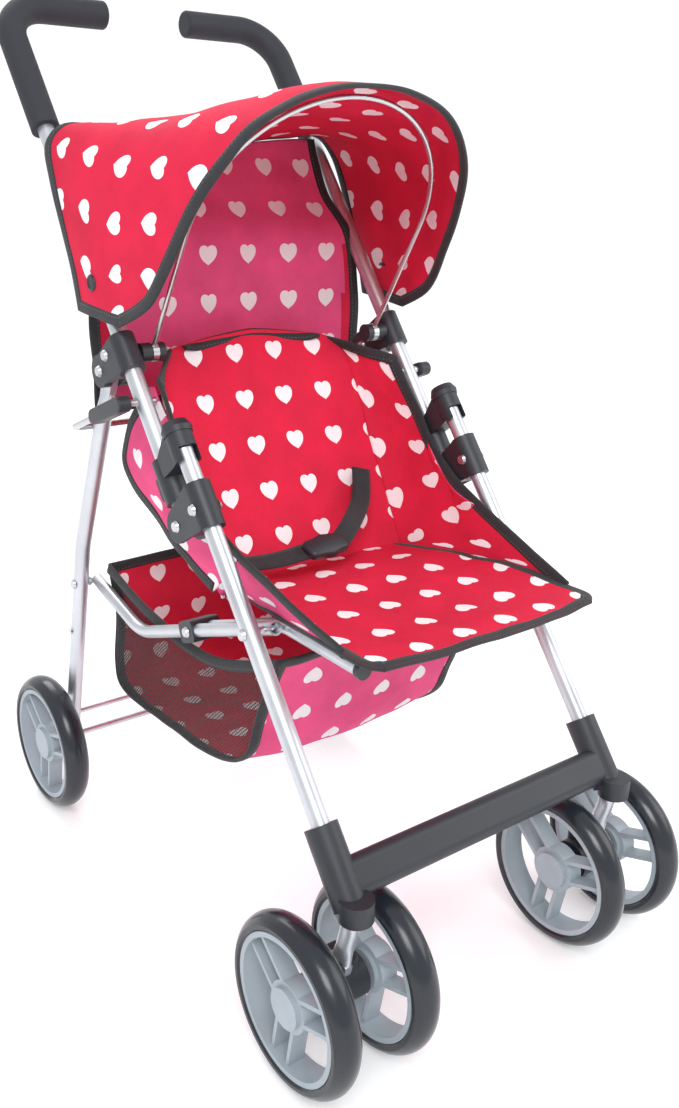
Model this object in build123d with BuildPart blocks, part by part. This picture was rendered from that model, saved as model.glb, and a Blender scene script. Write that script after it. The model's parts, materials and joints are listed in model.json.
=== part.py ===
"""A folding doll stroller: tube frame, six wheels, sling seat, hood and basket.

Millimetres. +Z is up, the child faces -Y, and the origin is on the floor under the middle of the
whole stroller. "left" is +X and "right" is -X, as seen by the person who pushes it.
Side-view sketches lie on the YZ plane, so their coordinates are (y, z).
"""
from build123d import *
import os
from math import atan2, cos, degrees, hypot, radians, sin, tan

# ---- Driving sizes ----
FRONT_AXLE_Y = -157.0       # places the front axle so that the origin is under the stroller's middle
WHEELBASE = 314.0           # front axle to rear axle
WHEEL_RADIUS = 48.0
TYRE_WIDTH = 17.0
TYRE_HEIGHT = 8.5           # from the rim to the tread
RIM_WALL = 3.0
RIM_WIDTH = 15.0
HUB_DISC_RADIUS = 14.0
RIB_THICKNESS = 2.4
RIB_SPREAD = 6.5            # each spoke is two ribs this far either side of its centre line
RIB_DEPTH = 10.0
SPOKES = 3
AXLE_RADIUS = 2.5

FRAME_X = 97.0              # centre plane of the tubes on each side
TUBE_RADIUS = 5.0
TUBE_WALL = 1.0
LINK_TUBE_RADIUS = 4.0      # side links and seat tubes
LEAN = radians(38)          # front legs and handle tubes lean back from upright
LEG_FOOT_AHEAD = 8.0        # the leg's line reaches this far ahead of the front axle ...
LEG_FOOT_ABOVE = 8.0        # ... this far above the wheels
LEG_TOP = 246.0             # top end of the front leg, measured up the leg from that point
FOLD_PIVOT_UP = 212.0       # main fold pivot, measured up the leg
TUBE_SPACING = 23.0         # front leg axis to handle tube axis
HANDLE_LENGTH = 344.0       # fold pivot to the corner of the handle
HANDLE_BEND_RADIUS = 26.0
HANDLE_END_X = 32.0         # the handle turns in and ends here
GRIP_START = 255.0          # measured up the handle from the fold pivot
GRIP_RADIUS = 8.5
GRIP_END_WALL = 3.0
SLEEVE_WALL = 2.6           # moulded sleeves round the tubes

BRACKET_UP = 105.0          # middle of the upper bracket, up the handle
BRACKET_LENGTH = 22.0
REAR_PIVOT_UP = 108.0       # rear leg pivot in the bracket's ear
REAR_PIVOT_BACK = 24.0
REAR_BEND_Z = 205.0
REAR_LOWER_SLOPE = radians(13)
LEG_SEAM_Z = 147.0          # where the upper rear leg plugs into the lower one
SPIGOT_LENGTH = 22.0
LINK_PIVOT_Z = 176.0        # side link pivot on the rear leg
LINK_FRONT_Z = 215.0        # side link pivot on the front leg
LINK_SIDE_ROOM = 2.7        # side link to rear leg, for the rivet's head between them
LINK_BEND_Y = 65.0
LINK_BEND_Z = 160.0
SEAT_TUBE_ROOM = 0.8        # seat tube to side link
SEAT_BRACKET_Y = 1.0
SEAT_FRONT_Y = -143.0       # front ends of the seat tubes
CROSS_ROD_ABOVE = 20.0      # rear cross rod above the rear axle
ROD_RADIUS = 2.0
LOCK_BAR_UP = 75.0          # lock bar pivot, up the handle
LOCK_BAR_ROOM = 4.2         # rear leg to the bar's run behind it
LOCK_BAR_DROP = radians(22) # the bar slopes down to the back
LOCK_BAR_WIRE = 2.0         # radius of its wire
LOCK_BAR_BEND = 7.0

WHEEL_ROOM = 2.5            # tyre to the hub or leg beside it
HUB_RADIUS = 12.0
HUB_HALF_WIDTH = 14.0
HUB_POST_HEIGHT = 18.0      # above the axle
CROSSBAR_HEIGHT = 21.0
CROSSBAR_DEPTH = 13.0
CONNECTOR_TOP = 38.0        # top of the connector's sleeve, up the leg
CONNECTOR_DROP = 7.0        # the sleeve ends this far below the leg's foot point

LOCK_LOW = 13.0             # lower edge of the slider lock, up the handle
LOCK_HEIGHT = 26.0
LOCK_CUP_LOW = 27.0         # rim of the cup over the leg's top
LOCK_CUP_HEIGHT = 22.0

HOOD_PIVOT_UP = 105.0       # hood bow pivot, up the handle
HOOD_LEAN = radians(31)     # the bow leans forward from upright
HOOD_BOW_STRAIGHT = 79.0    # pivot to the start of the bow's round top
HOOD_WIRE_RADIUS = 1.5
HOOD_TOP_ROOM = 2.9         # bow to the cloth over it
HOOD_OVERHANG = 12.0        # cloth ahead of the bow

# ---- Fits ----
RUNNING = 0.05              # radial clearance of a pin or shaft that turns
SLIDING = 0.1               # radial clearance of a sliding sleeve
GAP = 0.4                   # clearance between faces that pass each other
RIVET_RADIUS = 2.0
RIVET_HEAD_RADIUS = 3.4
RIVET_HEAD_HEIGHT = 1.5

# ---- Small pieces ----
FLAT_WIDTH = 13.0           # flattened tube ends
FLAT_THICKNESS = 4.4
FRONT_BEND_RADIUS = 22.0    # at the foot of the front leg
REAR_BEND_RADIUS = 60.0
LINK_BEND_RADIUS = 40.0
CLAMP_LOW = 200.0           # sleeve of the lower clamp, up the leg
CLAMP_HIGH = 226.0
EAR_RADIUS = 9.5
HOOD_STUD_RADIUS = 3.0
HOOD_STUD_LENGTH = 11.0
HOOD_HEAD_RADIUS = 5.5
HOOD_HEAD_LENGTH = 4.0
BOW_EYE_HALF = 2.0          # half the thickness of the bow's eye
BOW_EYE_WALL = 2.5
SNAP_BELOW_SEAM = 8.0       # snap button of the rear leg's joint
SNAP_RADIUS = 2.0
SNAP_PROUD = 1.2
CLIP_HALF_WIDTH = 4.0       # moulded clips on the lock bar
CLIP_HEIGHT = 9.0
CLIP_LENGTH = 34.0
SEAT_BLOCK_WALL = 1.5       # seat bracket inside the seat tube ...
SEAT_BLOCK_OUTER_WALL = 0.6 # ... and outside the side link
SEAT_BLOCK_LENGTH = 16.0
SEAT_BLOCK_HEIGHT = 13.0
PLUG_RIM = 0.6              # seat tube plug, proud of its tube
PLUG_HEAD = 3.5
PLUG_STEM = 8.0
AXLE_END_COVER = 2.5        # rim left outside the axle's blind end
HUB_BOSS_INSET = 3.0        # the hub's boss is this much smaller than its disc
WHEEL_TURN = 40.0           # degrees from the spokes' start to the ground

# ---- Cloth ----
CLOTH = 2.0                 # thickness of the plain cloth solids
CLOTH_CLEAR = 2.0           # cloth to the nearest hard piece
PAD = 5.0                   # thickness of the seat's padding
HOOD_SKIRT_Z = 356.0        # lower edge of the hood's sides
HOOD_ARCH_SPRING_Z = 425.0  # where the hood's round top starts
SEAT_SIDE_ROOM = 2.5        # seat cushion to seat tube
SEAT_CREASE = (-2.0, 203.0)
SEAT_KNEE = (-90.0, 219.0)
SEAT_BACK_TOP = (72.0, 340.0)
SEAT_FRONT = (-158.0, 216.0)
SEAT_BACK_ROOM = 5.0        # back rest to the hood's studs
BASKET_SIDE_ROOM = 12.0     # basket to rear leg
BASKET_TOP_Z = 188.0        # top of the basket at the rear legs
BELT_WIDTH = 13.0
BELT_THICKNESS = 1.2

os.makedirs("parts", exist_ok=True)

# ---- Sizes that follow from those ----
RIM_RADIUS = WHEEL_RADIUS - TYRE_HEIGHT
LEG_FOOT_Z = 2 * WHEEL_RADIUS + LEG_FOOT_ABOVE
HALF_SLEEVE = TUBE_RADIUS + SLEEVE_WALL
LINK_X = FRAME_X - TUBE_RADIUS - LINK_SIDE_ROOM - LINK_TUBE_RADIUS
SEAT_TUBE_X = LINK_X - 2 * LINK_TUBE_RADIUS - SEAT_TUBE_ROOM
TWIN_SPREAD = HUB_HALF_WIDTH + WHEEL_ROOM + TYRE_WIDTH / 2
REAR_WHEEL_X = FRAME_X + TUBE_RADIUS + WHEEL_ROOM + TYRE_WIDTH / 2
LOCK_BAR_X = FRAME_X + HALF_SLEEVE + RIVET_HEAD_HEIGHT + GAP + CLIP_HALF_WIDTH
BOW_EYE_X = FRAME_X - HALF_SLEEVE - HOOD_STUD_LENGTH + GAP + BOW_EYE_HALF
HOOD_HALF_WIDTH = FRAME_X + TUBE_RADIUS + CLOTH_CLEAR + CLOTH
SEAT_HALF_WIDTH = SEAT_TUBE_X - LINK_TUBE_RADIUS - SEAT_SIDE_ROOM
BASKET_HALF_WIDTH = FRAME_X - TUBE_RADIUS - BASKET_SIDE_ROOM
THROUGH = 2 * (TUBE_RADIUS + SLEEVE_WALL + GAP) + 4.0   # half length of a hole across a tube

# ---- Side-view places, as (y, z) ----
UP = (sin(LEAN), cos(LEAN))
BACK = (cos(LEAN), -sin(LEAN))
LEG_FOOT = (FRONT_AXLE_Y - LEG_FOOT_AHEAD, LEG_FOOT_Z)
FRONT_AXLE = (FRONT_AXLE_Y, WHEEL_RADIUS)
REAR_AXLE = (FRONT_AXLE_Y + WHEELBASE, WHEEL_RADIUS)


def move(start, up, back=0.0):
    """The point that lies up the tubes' line and square behind it from a start point."""
    return (
        start[0] + up * UP[0] + back * BACK[0],
        start[1] + up * UP[1] + back * BACK[1],
    )


FOLD_PIVOT = move(LEG_FOOT, FOLD_PIVOT_UP, TUBE_SPACING)
REAR_PIVOT = move(FOLD_PIVOT, REAR_PIVOT_UP, REAR_PIVOT_BACK)
HOOD_PIVOT = move(FOLD_PIVOT, HOOD_PIVOT_UP)
REAR_BEND = (REAR_AXLE[0] - (REAR_BEND_Z - REAR_AXLE[1]) * tan(REAR_LOWER_SLOPE), REAR_BEND_Z)


def on_rear_leg(z):
    """A point on the straight lower stretch of the rear leg."""
    return (REAR_AXLE[0] - (z - REAR_AXLE[1]) * tan(REAR_LOWER_SLOPE), z)


def on_front_leg(z):
    return move(LEG_FOOT, (z - LEG_FOOT_Z) / UP[1])


LINK_REAR = on_rear_leg(LINK_PIVOT_Z)
LINK_FRONT = on_front_leg(LINK_FRONT_Z)
LINK_BEND = (LINK_BEND_Y, LINK_BEND_Z)


def on_link(y):
    """A point on the front stretch of the side link."""
    share = (y - LINK_BEND[0]) / (LINK_FRONT[0] - LINK_BEND[0])
    return (y, LINK_BEND[1] + share * (LINK_FRONT[1] - LINK_BEND[1]))


SEAT_BRACKET = on_link(SEAT_BRACKET_Y)
LOCK_BAR_PIVOT = move(FOLD_PIVOT, LOCK_BAR_UP)
BRACKET_RIVET = move(REAR_PIVOT, 3.0, -13.0)


def lock_bar_reach():
    """How far the bar runs from its pivot, past the rear legs, to its run across the back."""
    slope = (cos(LOCK_BAR_DROP), -sin(LOCK_BAR_DROP))
    leg = (REAR_BEND[0] - REAR_PIVOT[0], REAR_BEND[1] - REAR_PIVOT[1])
    start = (REAR_PIVOT[0] - LOCK_BAR_PIVOT[0], REAR_PIVOT[1] - LOCK_BAR_PIVOT[1])
    crossing = slope[0] * leg[1] - slope[1] * leg[0]
    to_leg = (start[0] * leg[1] - start[1] * leg[0]) / crossing
    past_leg = (TUBE_RADIUS + LOCK_BAR_WIRE + LOCK_BAR_ROOM) * hypot(*leg) / abs(crossing)
    return to_leg + past_leg


LOCK_BAR_CROSS = (
    LOCK_BAR_PIVOT[0] + lock_bar_reach() * cos(LOCK_BAR_DROP),
    LOCK_BAR_PIVOT[1] - lock_bar_reach() * sin(LOCK_BAR_DROP),
)


# ---- Helpers ----
def save(piece, name):
    """Label a finished piece and write its STEP file."""
    piece.part.label = name
    export_step(piece.part, f"parts/{name}.step")


def save_pair(piece, name):
    """Write a piece made on the left side, and its mirror image on the right."""
    save(piece, f"{name}_left")
    with BuildPart() as other:
        add(mirror(piece.part, about=Plane.YZ))
    save(other, f"{name}_right")


def bar(point, radius, start, end, mode=Mode.ADD):
    """A round bar along X at a side-view point, from x = start to x = end."""
    with BuildSketch(Plane.YZ.offset(start)) as end_face:
        with Locations(point):
            Circle(radius)
    extrude(end_face.sketch, amount=end - start, mode=mode)


def hole(point, radius, start, end):
    bar(point, radius, start, end, Mode.SUBTRACT)


def rivet(point, start, end):
    """A rivet along X whose shank runs from x = start to x = end, with a domed head at each end."""
    bar(point, RIVET_RADIUS, start, end)
    for face, direction in ((start, -1), (end, 1)):
        head = Plane(origin=(face, *point), x_dir=(0, 1, 0), z_dir=(direction, 0, 0))
        with BuildSketch(head) as disc:
            Circle(RIVET_HEAD_RADIUS)
        extrude(disc.sketch, amount=RIVET_HEAD_HEIGHT, taper=30)


def square_to(point, along, x):
    """A plane at a side-view point, facing along a side-view direction, with its local Y along X."""
    length = hypot(*along)
    unit = (along[0] / length, along[1] / length)
    return Plane(origin=(x, *point), x_dir=(0, -unit[1], unit[0]), z_dir=(0, *unit))


def add_tube(points, bend, radius, wall):
    """A hollow tube along straight runs joined by arcs."""
    with BuildLine() as path:
        if len(points) > 2:
            FilletPolyline(*points, radius=bend)
        else:
            Line(*points)
    with BuildSketch(Plane(origin=path.line @ 0, z_dir=path.line % 0)) as section:
        Circle(radius)
        Circle(radius - wall, mode=Mode.SUBTRACT)
    sweep(section.sketch, path=path.line)


def between(a, b, share):
    return (a[0] + share * (b[0] - a[0]), a[1] + share * (b[1] - a[1]))


def toward(a, b, distance):
    """The point a distance from a on the way to b."""
    return between(a, b, distance / hypot(b[0] - a[0], b[1] - a[1]))


def direction(a, b):
    return (b[0] - a[0], b[1] - a[1])


# ---- Front frame ----
STUB_CORNER = move(LEG_FOOT, -8.0)
STUB_ROUND_END = toward(STUB_CORNER, FRONT_AXLE, 20.0)
STUB_FLAT_START = toward(STUB_CORNER, FRONT_AXLE, 32.0)


def add_flattening(round_end, flat_start, x):
    """The stretch where a round tube is pressed flat."""
    along = direction(round_end, flat_start)
    with BuildSketch(square_to(round_end, along, x)) as start:
        Circle(TUBE_RADIUS)
    with BuildSketch(square_to(flat_start, along, x)) as end:
        RectangleRounded(FLAT_WIDTH, FLAT_THICKNESS, FLAT_THICKNESS / 2 - 0.1)
    loft([start.sketch, end.sketch])


def add_flat_end(start, pivot, x):
    """The flat stretch itself, rounded round its pivot."""
    along = direction(start, pivot)
    length = hypot(*along)
    with BuildSketch(Plane.YZ.offset(x - FLAT_THICKNESS / 2)) as outline:
        with Locations(Location((*between(start, pivot, 0.5), 0), degrees(atan2(along[1], along[0])))):
            Rectangle(length, FLAT_WIDTH)
        with Locations(pivot):
            Circle(FLAT_WIDTH / 2)
    extrude(outline.sketch, amount=FLAT_THICKNESS)


def make_front_leg():
    top = move(LEG_FOOT, LEG_TOP)
    with BuildPart() as leg:
        points = [(FRAME_X, *top), (FRAME_X, *STUB_CORNER), (FRAME_X, *STUB_ROUND_END)]
        add_tube(points, FRONT_BEND_RADIUS, TUBE_RADIUS, TUBE_WALL)
        add_flattening(STUB_ROUND_END, STUB_FLAT_START, FRAME_X)
        add_flat_end(STUB_FLAT_START, FRONT_AXLE, FRAME_X)
        hole(FRONT_AXLE, AXLE_RADIUS, FRAME_X - HUB_RADIUS, FRAME_X + HUB_RADIUS)
        for pivot in (move(LEG_FOOT, FOLD_PIVOT_UP), LINK_FRONT):
            hole(pivot, RIVET_RADIUS, FRAME_X - 2 * TUBE_RADIUS, FRAME_X + 2 * TUBE_RADIUS)
    save_pair(leg, "front_leg")


def make_front_hub():
    """The moulded block between each pair of front wheels, which holds the axle."""
    low, high = FRAME_X - HUB_HALF_WIDTH, FRAME_X + HUB_HALF_WIDTH
    with BuildPart() as hub:
        bar(FRONT_AXLE, HUB_RADIUS, low, high)
        with BuildSketch(Plane.XY.offset(FRONT_AXLE[1])) as post:
            with Locations((FRAME_X, FRONT_AXLE[0])):
                RectangleRounded(HUB_HALF_WIDTH + 4, HUB_RADIUS * 1.6, 4)
        extrude(post.sketch, amount=HUB_POST_HEIGHT)
        fillet(hub.faces().sort_by(Axis.Z)[-1].edges(), radius=1.5)
        with BuildSketch(Plane.YZ.offset(FRAME_X - FLAT_THICKNESS / 2)) as slot:
            along = direction(FRONT_AXLE, STUB_ROUND_END)
            middle = Location((*FRONT_AXLE, 0), degrees(atan2(along[1], along[0])))
            with Locations(middle):
                with Locations((HUB_POST_HEIGHT, 0)):
                    Rectangle(2 * HUB_POST_HEIGHT, FLAT_WIDTH)
            with Locations(FRONT_AXLE):
                Circle(FLAT_WIDTH / 2)
        extrude(slot.sketch, amount=FLAT_THICKNESS, mode=Mode.SUBTRACT)
        hole(FRONT_AXLE, AXLE_RADIUS, low, high)
    save_pair(hub, "front_hub")


def make_front_axles():
    reach = TWIN_SPREAD + RIM_WIDTH / 2 - AXLE_END_COVER
    with BuildPart() as axles:
        for middle in (-FRAME_X, FRAME_X):
            bar(FRONT_AXLE, AXLE_RADIUS, middle - reach, middle + reach)
    save(axles, "front_axles")


def make_front_crossbar():
    """One moulding: a sleeve on each front leg, joined by a bar across the front."""
    sleeve_radius = TUBE_RADIUS + SLEEVE_WALL + 1.4
    top = move(LEG_FOOT, CONNECTOR_TOP)
    foot = (STUB_CORNER[0] - 2.0, LEG_FOOT_Z - CONNECTOR_DROP)
    elbow = move(LEG_FOOT, 6.0)
    with BuildPart() as connector:
        for x in (-FRAME_X, FRAME_X):
            with BuildSketch(square_to(top, UP, x)) as round_top:
                Circle(sleeve_radius)
            extrude(round_top.sketch, amount=-(CONNECTOR_TOP + 4.0))
            with BuildSketch(Plane.XY.offset(foot[1])) as round_foot:
                with Locations((x, foot[0])):
                    Circle(sleeve_radius)
            extrude(round_foot.sketch, amount=elbow[1] - foot[1])
            with Locations((x, elbow[0], elbow[1])):
                Sphere(sleeve_radius)
        bar_middle = move(LEG_FOOT, 9.0, -1.0)
        with BuildSketch(Plane.YZ.offset(-FRAME_X)) as section:
            with Locations(Location((*bar_middle, 0), -degrees(LEAN))):
                RectangleRounded(CROSSBAR_DEPTH, CROSSBAR_HEIGHT, CROSSBAR_DEPTH / 2 - 1)
        extrude(section.sketch, amount=2 * FRAME_X)
        for x in (-FRAME_X, FRAME_X):
            with BuildLine() as bore_path:
                FilletPolyline(
                    (x, *move(LEG_FOOT, LEG_TOP)), (x, *STUB_CORNER), (x, *STUB_ROUND_END),
                    radius=FRONT_BEND_RADIUS,
                )
            with BuildSketch(Plane(origin=bore_path.line @ 0, z_dir=bore_path.line % 0)) as bore:
                Circle(TUBE_RADIUS)
            sweep(bore.sketch, path=bore_path.line, mode=Mode.SUBTRACT)
    save(connector, "front_crossbar")


def make_lower_clamp():
    """A sleeve fixed on the front leg, with two ears that carry the handle tube's lower end."""
    with BuildPart() as clamp:
        with BuildSketch(square_to(move(LEG_FOOT, CLAMP_LOW), UP, FRAME_X)) as sleeve:
            Circle(HALF_SLEEVE)
        extrude(sleeve.sketch, amount=CLAMP_HIGH - CLAMP_LOW)
        with BuildSketch(Plane.YZ.offset(FRAME_X - HALF_SLEEVE)) as ear:
            with BuildLine():
                Polyline(
                    move(LEG_FOOT, CLAMP_HIGH), move(FOLD_PIVOT, EAR_RADIUS),
                    move(FOLD_PIVOT, -EAR_RADIUS), move(LEG_FOOT, CLAMP_LOW), close=True,
                )
            make_face()
            with Locations(FOLD_PIVOT):
                Circle(EAR_RADIUS)
        extrude(ear.sketch, amount=2 * HALF_SLEEVE)
        slot_half = TUBE_RADIUS + GAP
        with BuildSketch(Plane.YZ.offset(FRAME_X - slot_half)) as slot:
            with Locations(Location((*move(FOLD_PIVOT, 0, 4.0), 0), 90 - degrees(LEAN))):
                Rectangle(60, 2 * (TUBE_RADIUS + 9))
        extrude(slot.sketch, amount=2 * slot_half, mode=Mode.SUBTRACT)
        with BuildSketch(square_to(move(LEG_FOOT, CLAMP_LOW - 1), UP, FRAME_X)) as bore:
            Circle(TUBE_RADIUS)
        extrude(bore.sketch, amount=CLAMP_HIGH - CLAMP_LOW + 2, mode=Mode.SUBTRACT)
        for pivot in (move(LEG_FOOT, FOLD_PIVOT_UP), FOLD_PIVOT):
            hole(pivot, RIVET_RADIUS, FRAME_X - THROUGH, FRAME_X + THROUGH)
    save_pair(clamp, "lower_clamp")


def make_front_rivets():
    """The fold pivots, the link pivots and the rivets that hold the clamps, with their heads."""
    with BuildPart() as rivets:
        for side in (-1, 1):
            x = side * FRAME_X
            for point in (FOLD_PIVOT, move(LEG_FOOT, FOLD_PIVOT_UP)):
                rivet(point, x - HALF_SLEEVE, x + HALF_SLEEVE)
            inner = side * (SEAT_TUBE_X - LINK_TUBE_RADIUS - GAP)
            outer = side * (FRAME_X + TUBE_RADIUS)
            rivet(LINK_FRONT, min(inner, outer), max(inner, outer))
    save(rivets, "front_rivets")


# ---- Handle frame ----
def make_handle_tube():
    corner = move(FOLD_PIVOT, HANDLE_LENGTH)
    with BuildPart() as tube:
        points = [
            (FRAME_X, *move(FOLD_PIVOT, -TUBE_RADIUS - 0.5)),
            (FRAME_X, *corner),
            (HANDLE_END_X, *corner),
        ]
        add_tube(points, HANDLE_BEND_RADIUS, TUBE_RADIUS, TUBE_WALL)
        hole(FOLD_PIVOT, RIVET_RADIUS + RUNNING, FRAME_X - THROUGH, FRAME_X + THROUGH)
        hole(LOCK_BAR_PIVOT, LOCK_BAR_WIRE + RUNNING, FRAME_X - THROUGH, FRAME_X + THROUGH)
    save_pair(tube, "handle_tube")


def make_grip():
    """A foam grip over the bent end of the handle tube, closed at its end."""
    corner = move(FOLD_PIVOT, HANDLE_LENGTH)
    end_x = HANDLE_END_X - GRIP_END_WALL
    points = [
        (FRAME_X, *move(FOLD_PIVOT, GRIP_START)),
        (FRAME_X, *corner),
        (end_x, *corner),
    ]
    with BuildPart() as grip:
        add_tube(points, HANDLE_BEND_RADIUS, GRIP_RADIUS, GRIP_RADIUS - TUBE_RADIUS)
        bar(corner, TUBE_RADIUS, end_x, HANDLE_END_X)
        fillet(grip.edges().filter_by(GeomType.CIRCLE).sort_by(Axis.X)[0], radius=2)
    save_pair(grip, "grip")


def make_upper_bracket():
    """A sleeve fixed on the handle tube, with a forked ear behind it for the rear leg."""
    low = move(FOLD_PIVOT, BRACKET_UP - BRACKET_LENGTH / 2)
    high = move(FOLD_PIVOT, BRACKET_UP + BRACKET_LENGTH / 2)
    half = HALF_SLEEVE
    with BuildPart() as bracket:
        with BuildSketch(square_to(low, UP, FRAME_X)) as sleeve:
            Circle(half)
        extrude(sleeve.sketch, amount=BRACKET_LENGTH)
        with BuildSketch(Plane.YZ.offset(FRAME_X - half)) as ear:
            with BuildLine():
                Polyline(
                    high, move(REAR_PIVOT, 8.0, 4.0), move(REAR_PIVOT, -8.0, 3.0), low, close=True
                )
            make_face()
            with Locations(REAR_PIVOT):
                Circle(EAR_RADIUS)
        extrude(ear.sketch, amount=2 * half)
        slot_half = FLAT_THICKNESS / 2 + GAP
        with BuildSketch(Plane.YZ.offset(FRAME_X - slot_half)) as slot:
            with Locations(Location((*move(REAR_PIVOT, 0, 8.0), 0), 90 - degrees(LEAN))):
                Rectangle(80, 34)
        extrude(slot.sketch, amount=2 * slot_half, mode=Mode.SUBTRACT)
        with BuildSketch(square_to(move(low, -1, 0), UP, FRAME_X)) as bore:
            Circle(TUBE_RADIUS)
        extrude(bore.sketch, amount=BRACKET_LENGTH + 2, mode=Mode.SUBTRACT)
        for point in (REAR_PIVOT, BRACKET_RIVET):
            hole(point, RIVET_RADIUS, FRAME_X - THROUGH, FRAME_X + THROUGH)
        hole(HOOD_PIVOT, HOOD_STUD_RADIUS, FRAME_X - THROUGH, FRAME_X - TUBE_RADIUS)
    save_pair(bracket, "upper_bracket")


def make_handle_rivets():
    """The rear leg pivots and the rivets that close the upper brackets."""
    half = HALF_SLEEVE
    with BuildPart() as rivets:
        for x in (-FRAME_X, FRAME_X):
            for point in (REAR_PIVOT, BRACKET_RIVET):
                rivet(point, x - half, x + half)
    save(rivets, "handle_rivets")


def make_hood_pivots():
    """A headed stud on the inner face of each upper bracket, for the hood bow to turn on."""
    inner = FRAME_X - HALF_SLEEVE
    stud_end = inner - HOOD_STUD_LENGTH
    with BuildPart() as studs:
        for side in (-1, 1):
            for radius, far, near in (
                (HOOD_STUD_RADIUS, stud_end, FRAME_X - TUBE_RADIUS - 0.2),
                (HOOD_HEAD_RADIUS, stud_end - HOOD_HEAD_LENGTH, stud_end),
                (HOOD_HEAD_RADIUS, inner - HOOD_STUD_LENGTH + 2 * BOW_EYE_HALF + 2 * GAP, inner),
            ):
                bar(HOOD_PIVOT, radius, min(side * far, side * near), max(side * far, side * near))
    save(studs, "hood_pivots")


def make_slider_lock():
    """Slides on the handle tube. Its cup holds the front leg's top end and is open at the front."""
    half = HALF_SLEEVE
    low = move(FOLD_PIVOT, LOCK_LOW)
    leg_line = -TUBE_SPACING
    cup_rim = move(FOLD_PIVOT, LOCK_CUP_LOW, leg_line)
    leg_end = move(FOLD_PIVOT, LEG_TOP - FOLD_PIVOT_UP + GAP, leg_line)
    with BuildPart() as lock:
        with BuildSketch(square_to(low, UP, FRAME_X)) as sleeve:
            Circle(half)
        extrude(sleeve.sketch, amount=LOCK_HEIGHT)
        with BuildSketch(square_to(cup_rim, UP, FRAME_X)) as cup:
            Circle(half)
        extrude(cup.sketch, amount=LOCK_CUP_HEIGHT - 3)
        dome = move(cup_rim, LOCK_CUP_HEIGHT - 3)
        with BuildSketch(square_to(dome, UP, FRAME_X)) as cap:
            Circle(half + 1.2)
        extrude(cap.sketch, amount=4.0, taper=24)
        extrude(cap.sketch, amount=-3.0, taper=12)
        with BuildSketch(Plane.YZ.offset(FRAME_X - half + 1)) as web:
            with BuildLine():
                Polyline(
                    move(FOLD_PIVOT, LOCK_LOW + LOCK_HEIGHT - 2), move(cup_rim, LOCK_CUP_HEIGHT - 1),
                    cup_rim, move(FOLD_PIVOT, LOCK_CUP_LOW), close=True,
                )
            make_face()
        extrude(web.sketch, amount=2 * (half - 1))
        with BuildSketch(Plane.YZ.offset(FRAME_X - 4)) as thumb_tab:
            with Locations(Location((*move(FOLD_PIVOT, LOCK_LOW + 12, half + 1), 0), 90 - degrees(LEAN))):
                RectangleRounded(14, 5, 2.2)
        extrude(thumb_tab.sketch, amount=8)
        with BuildSketch(square_to(move(low, -1), UP, FRAME_X)) as bore:
            Circle(TUBE_RADIUS + SLIDING)
        extrude(bore.sketch, amount=LOCK_HEIGHT + 30, mode=Mode.SUBTRACT)
        with BuildSketch(square_to(move(cup_rim, -1), UP, FRAME_X)) as socket:
            Circle(TUBE_RADIUS + GAP)
            with Locations((TUBE_RADIUS + 3, 0)):
                Rectangle(2 * TUBE_RADIUS + 6, 2 * (TUBE_RADIUS + GAP))
        depth = hypot(leg_end[0] - cup_rim[0], leg_end[1] - cup_rim[1]) + 1
        extrude(socket.sketch, amount=depth, mode=Mode.SUBTRACT)
    save_pair(lock, "slider_lock")


# ---- Rear frame ----
def make_rear_legs():
    top_round = toward(REAR_PIVOT, REAR_BEND, 28.0)
    top_flat = toward(REAR_PIVOT, REAR_BEND, 13.0)
    seam = on_rear_leg(LEG_SEAM_Z)
    spigot_end = on_rear_leg(LEG_SEAM_Z - SPIGOT_LENGTH)
    spigot_radius = TUBE_RADIUS - TUBE_WALL
    with BuildPart() as upper:
        points = [(FRAME_X, *seam), (FRAME_X, *REAR_BEND), (FRAME_X, *top_round)]
        add_tube(points, REAR_BEND_RADIUS, TUBE_RADIUS, TUBE_WALL)
        add_tube([(FRAME_X, *spigot_end), (FRAME_X, *seam)], 0, spigot_radius, TUBE_WALL)
        add_tube([(FRAME_X, *seam), (FRAME_X, *on_rear_leg(LEG_SEAM_Z + 3))], 0, TUBE_RADIUS, 2 * TUBE_WALL)
        add_flattening(top_round, top_flat, FRAME_X)
        add_flat_end(top_flat, REAR_PIVOT, FRAME_X)
        hole(REAR_PIVOT, RIVET_RADIUS + RUNNING, FRAME_X - THROUGH, FRAME_X + THROUGH)
        hole(LINK_REAR, RIVET_RADIUS, FRAME_X - THROUGH, FRAME_X + THROUGH)
        hole(on_rear_leg(LEG_SEAM_Z - SNAP_BELOW_SEAM), SNAP_RADIUS, FRAME_X, FRAME_X + THROUGH)
    save_pair(upper, "rear_leg_upper")
    foot = on_rear_leg(REAR_AXLE[1] - TUBE_RADIUS - 2)
    with BuildPart() as lower:
        add_tube([(FRAME_X, *foot), (FRAME_X, *seam)], 0, TUBE_RADIUS, TUBE_WALL)
        hole(REAR_AXLE, AXLE_RADIUS, FRAME_X - THROUGH, FRAME_X + THROUGH)
        hole(on_rear_leg(REAR_AXLE[1] + CROSS_ROD_ABOVE), ROD_RADIUS, FRAME_X - THROUGH, FRAME_X)
        hole(on_rear_leg(LEG_SEAM_Z - SNAP_BELOW_SEAM), SNAP_RADIUS, FRAME_X, FRAME_X + THROUGH)
    save_pair(lower, "rear_leg_lower")


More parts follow.
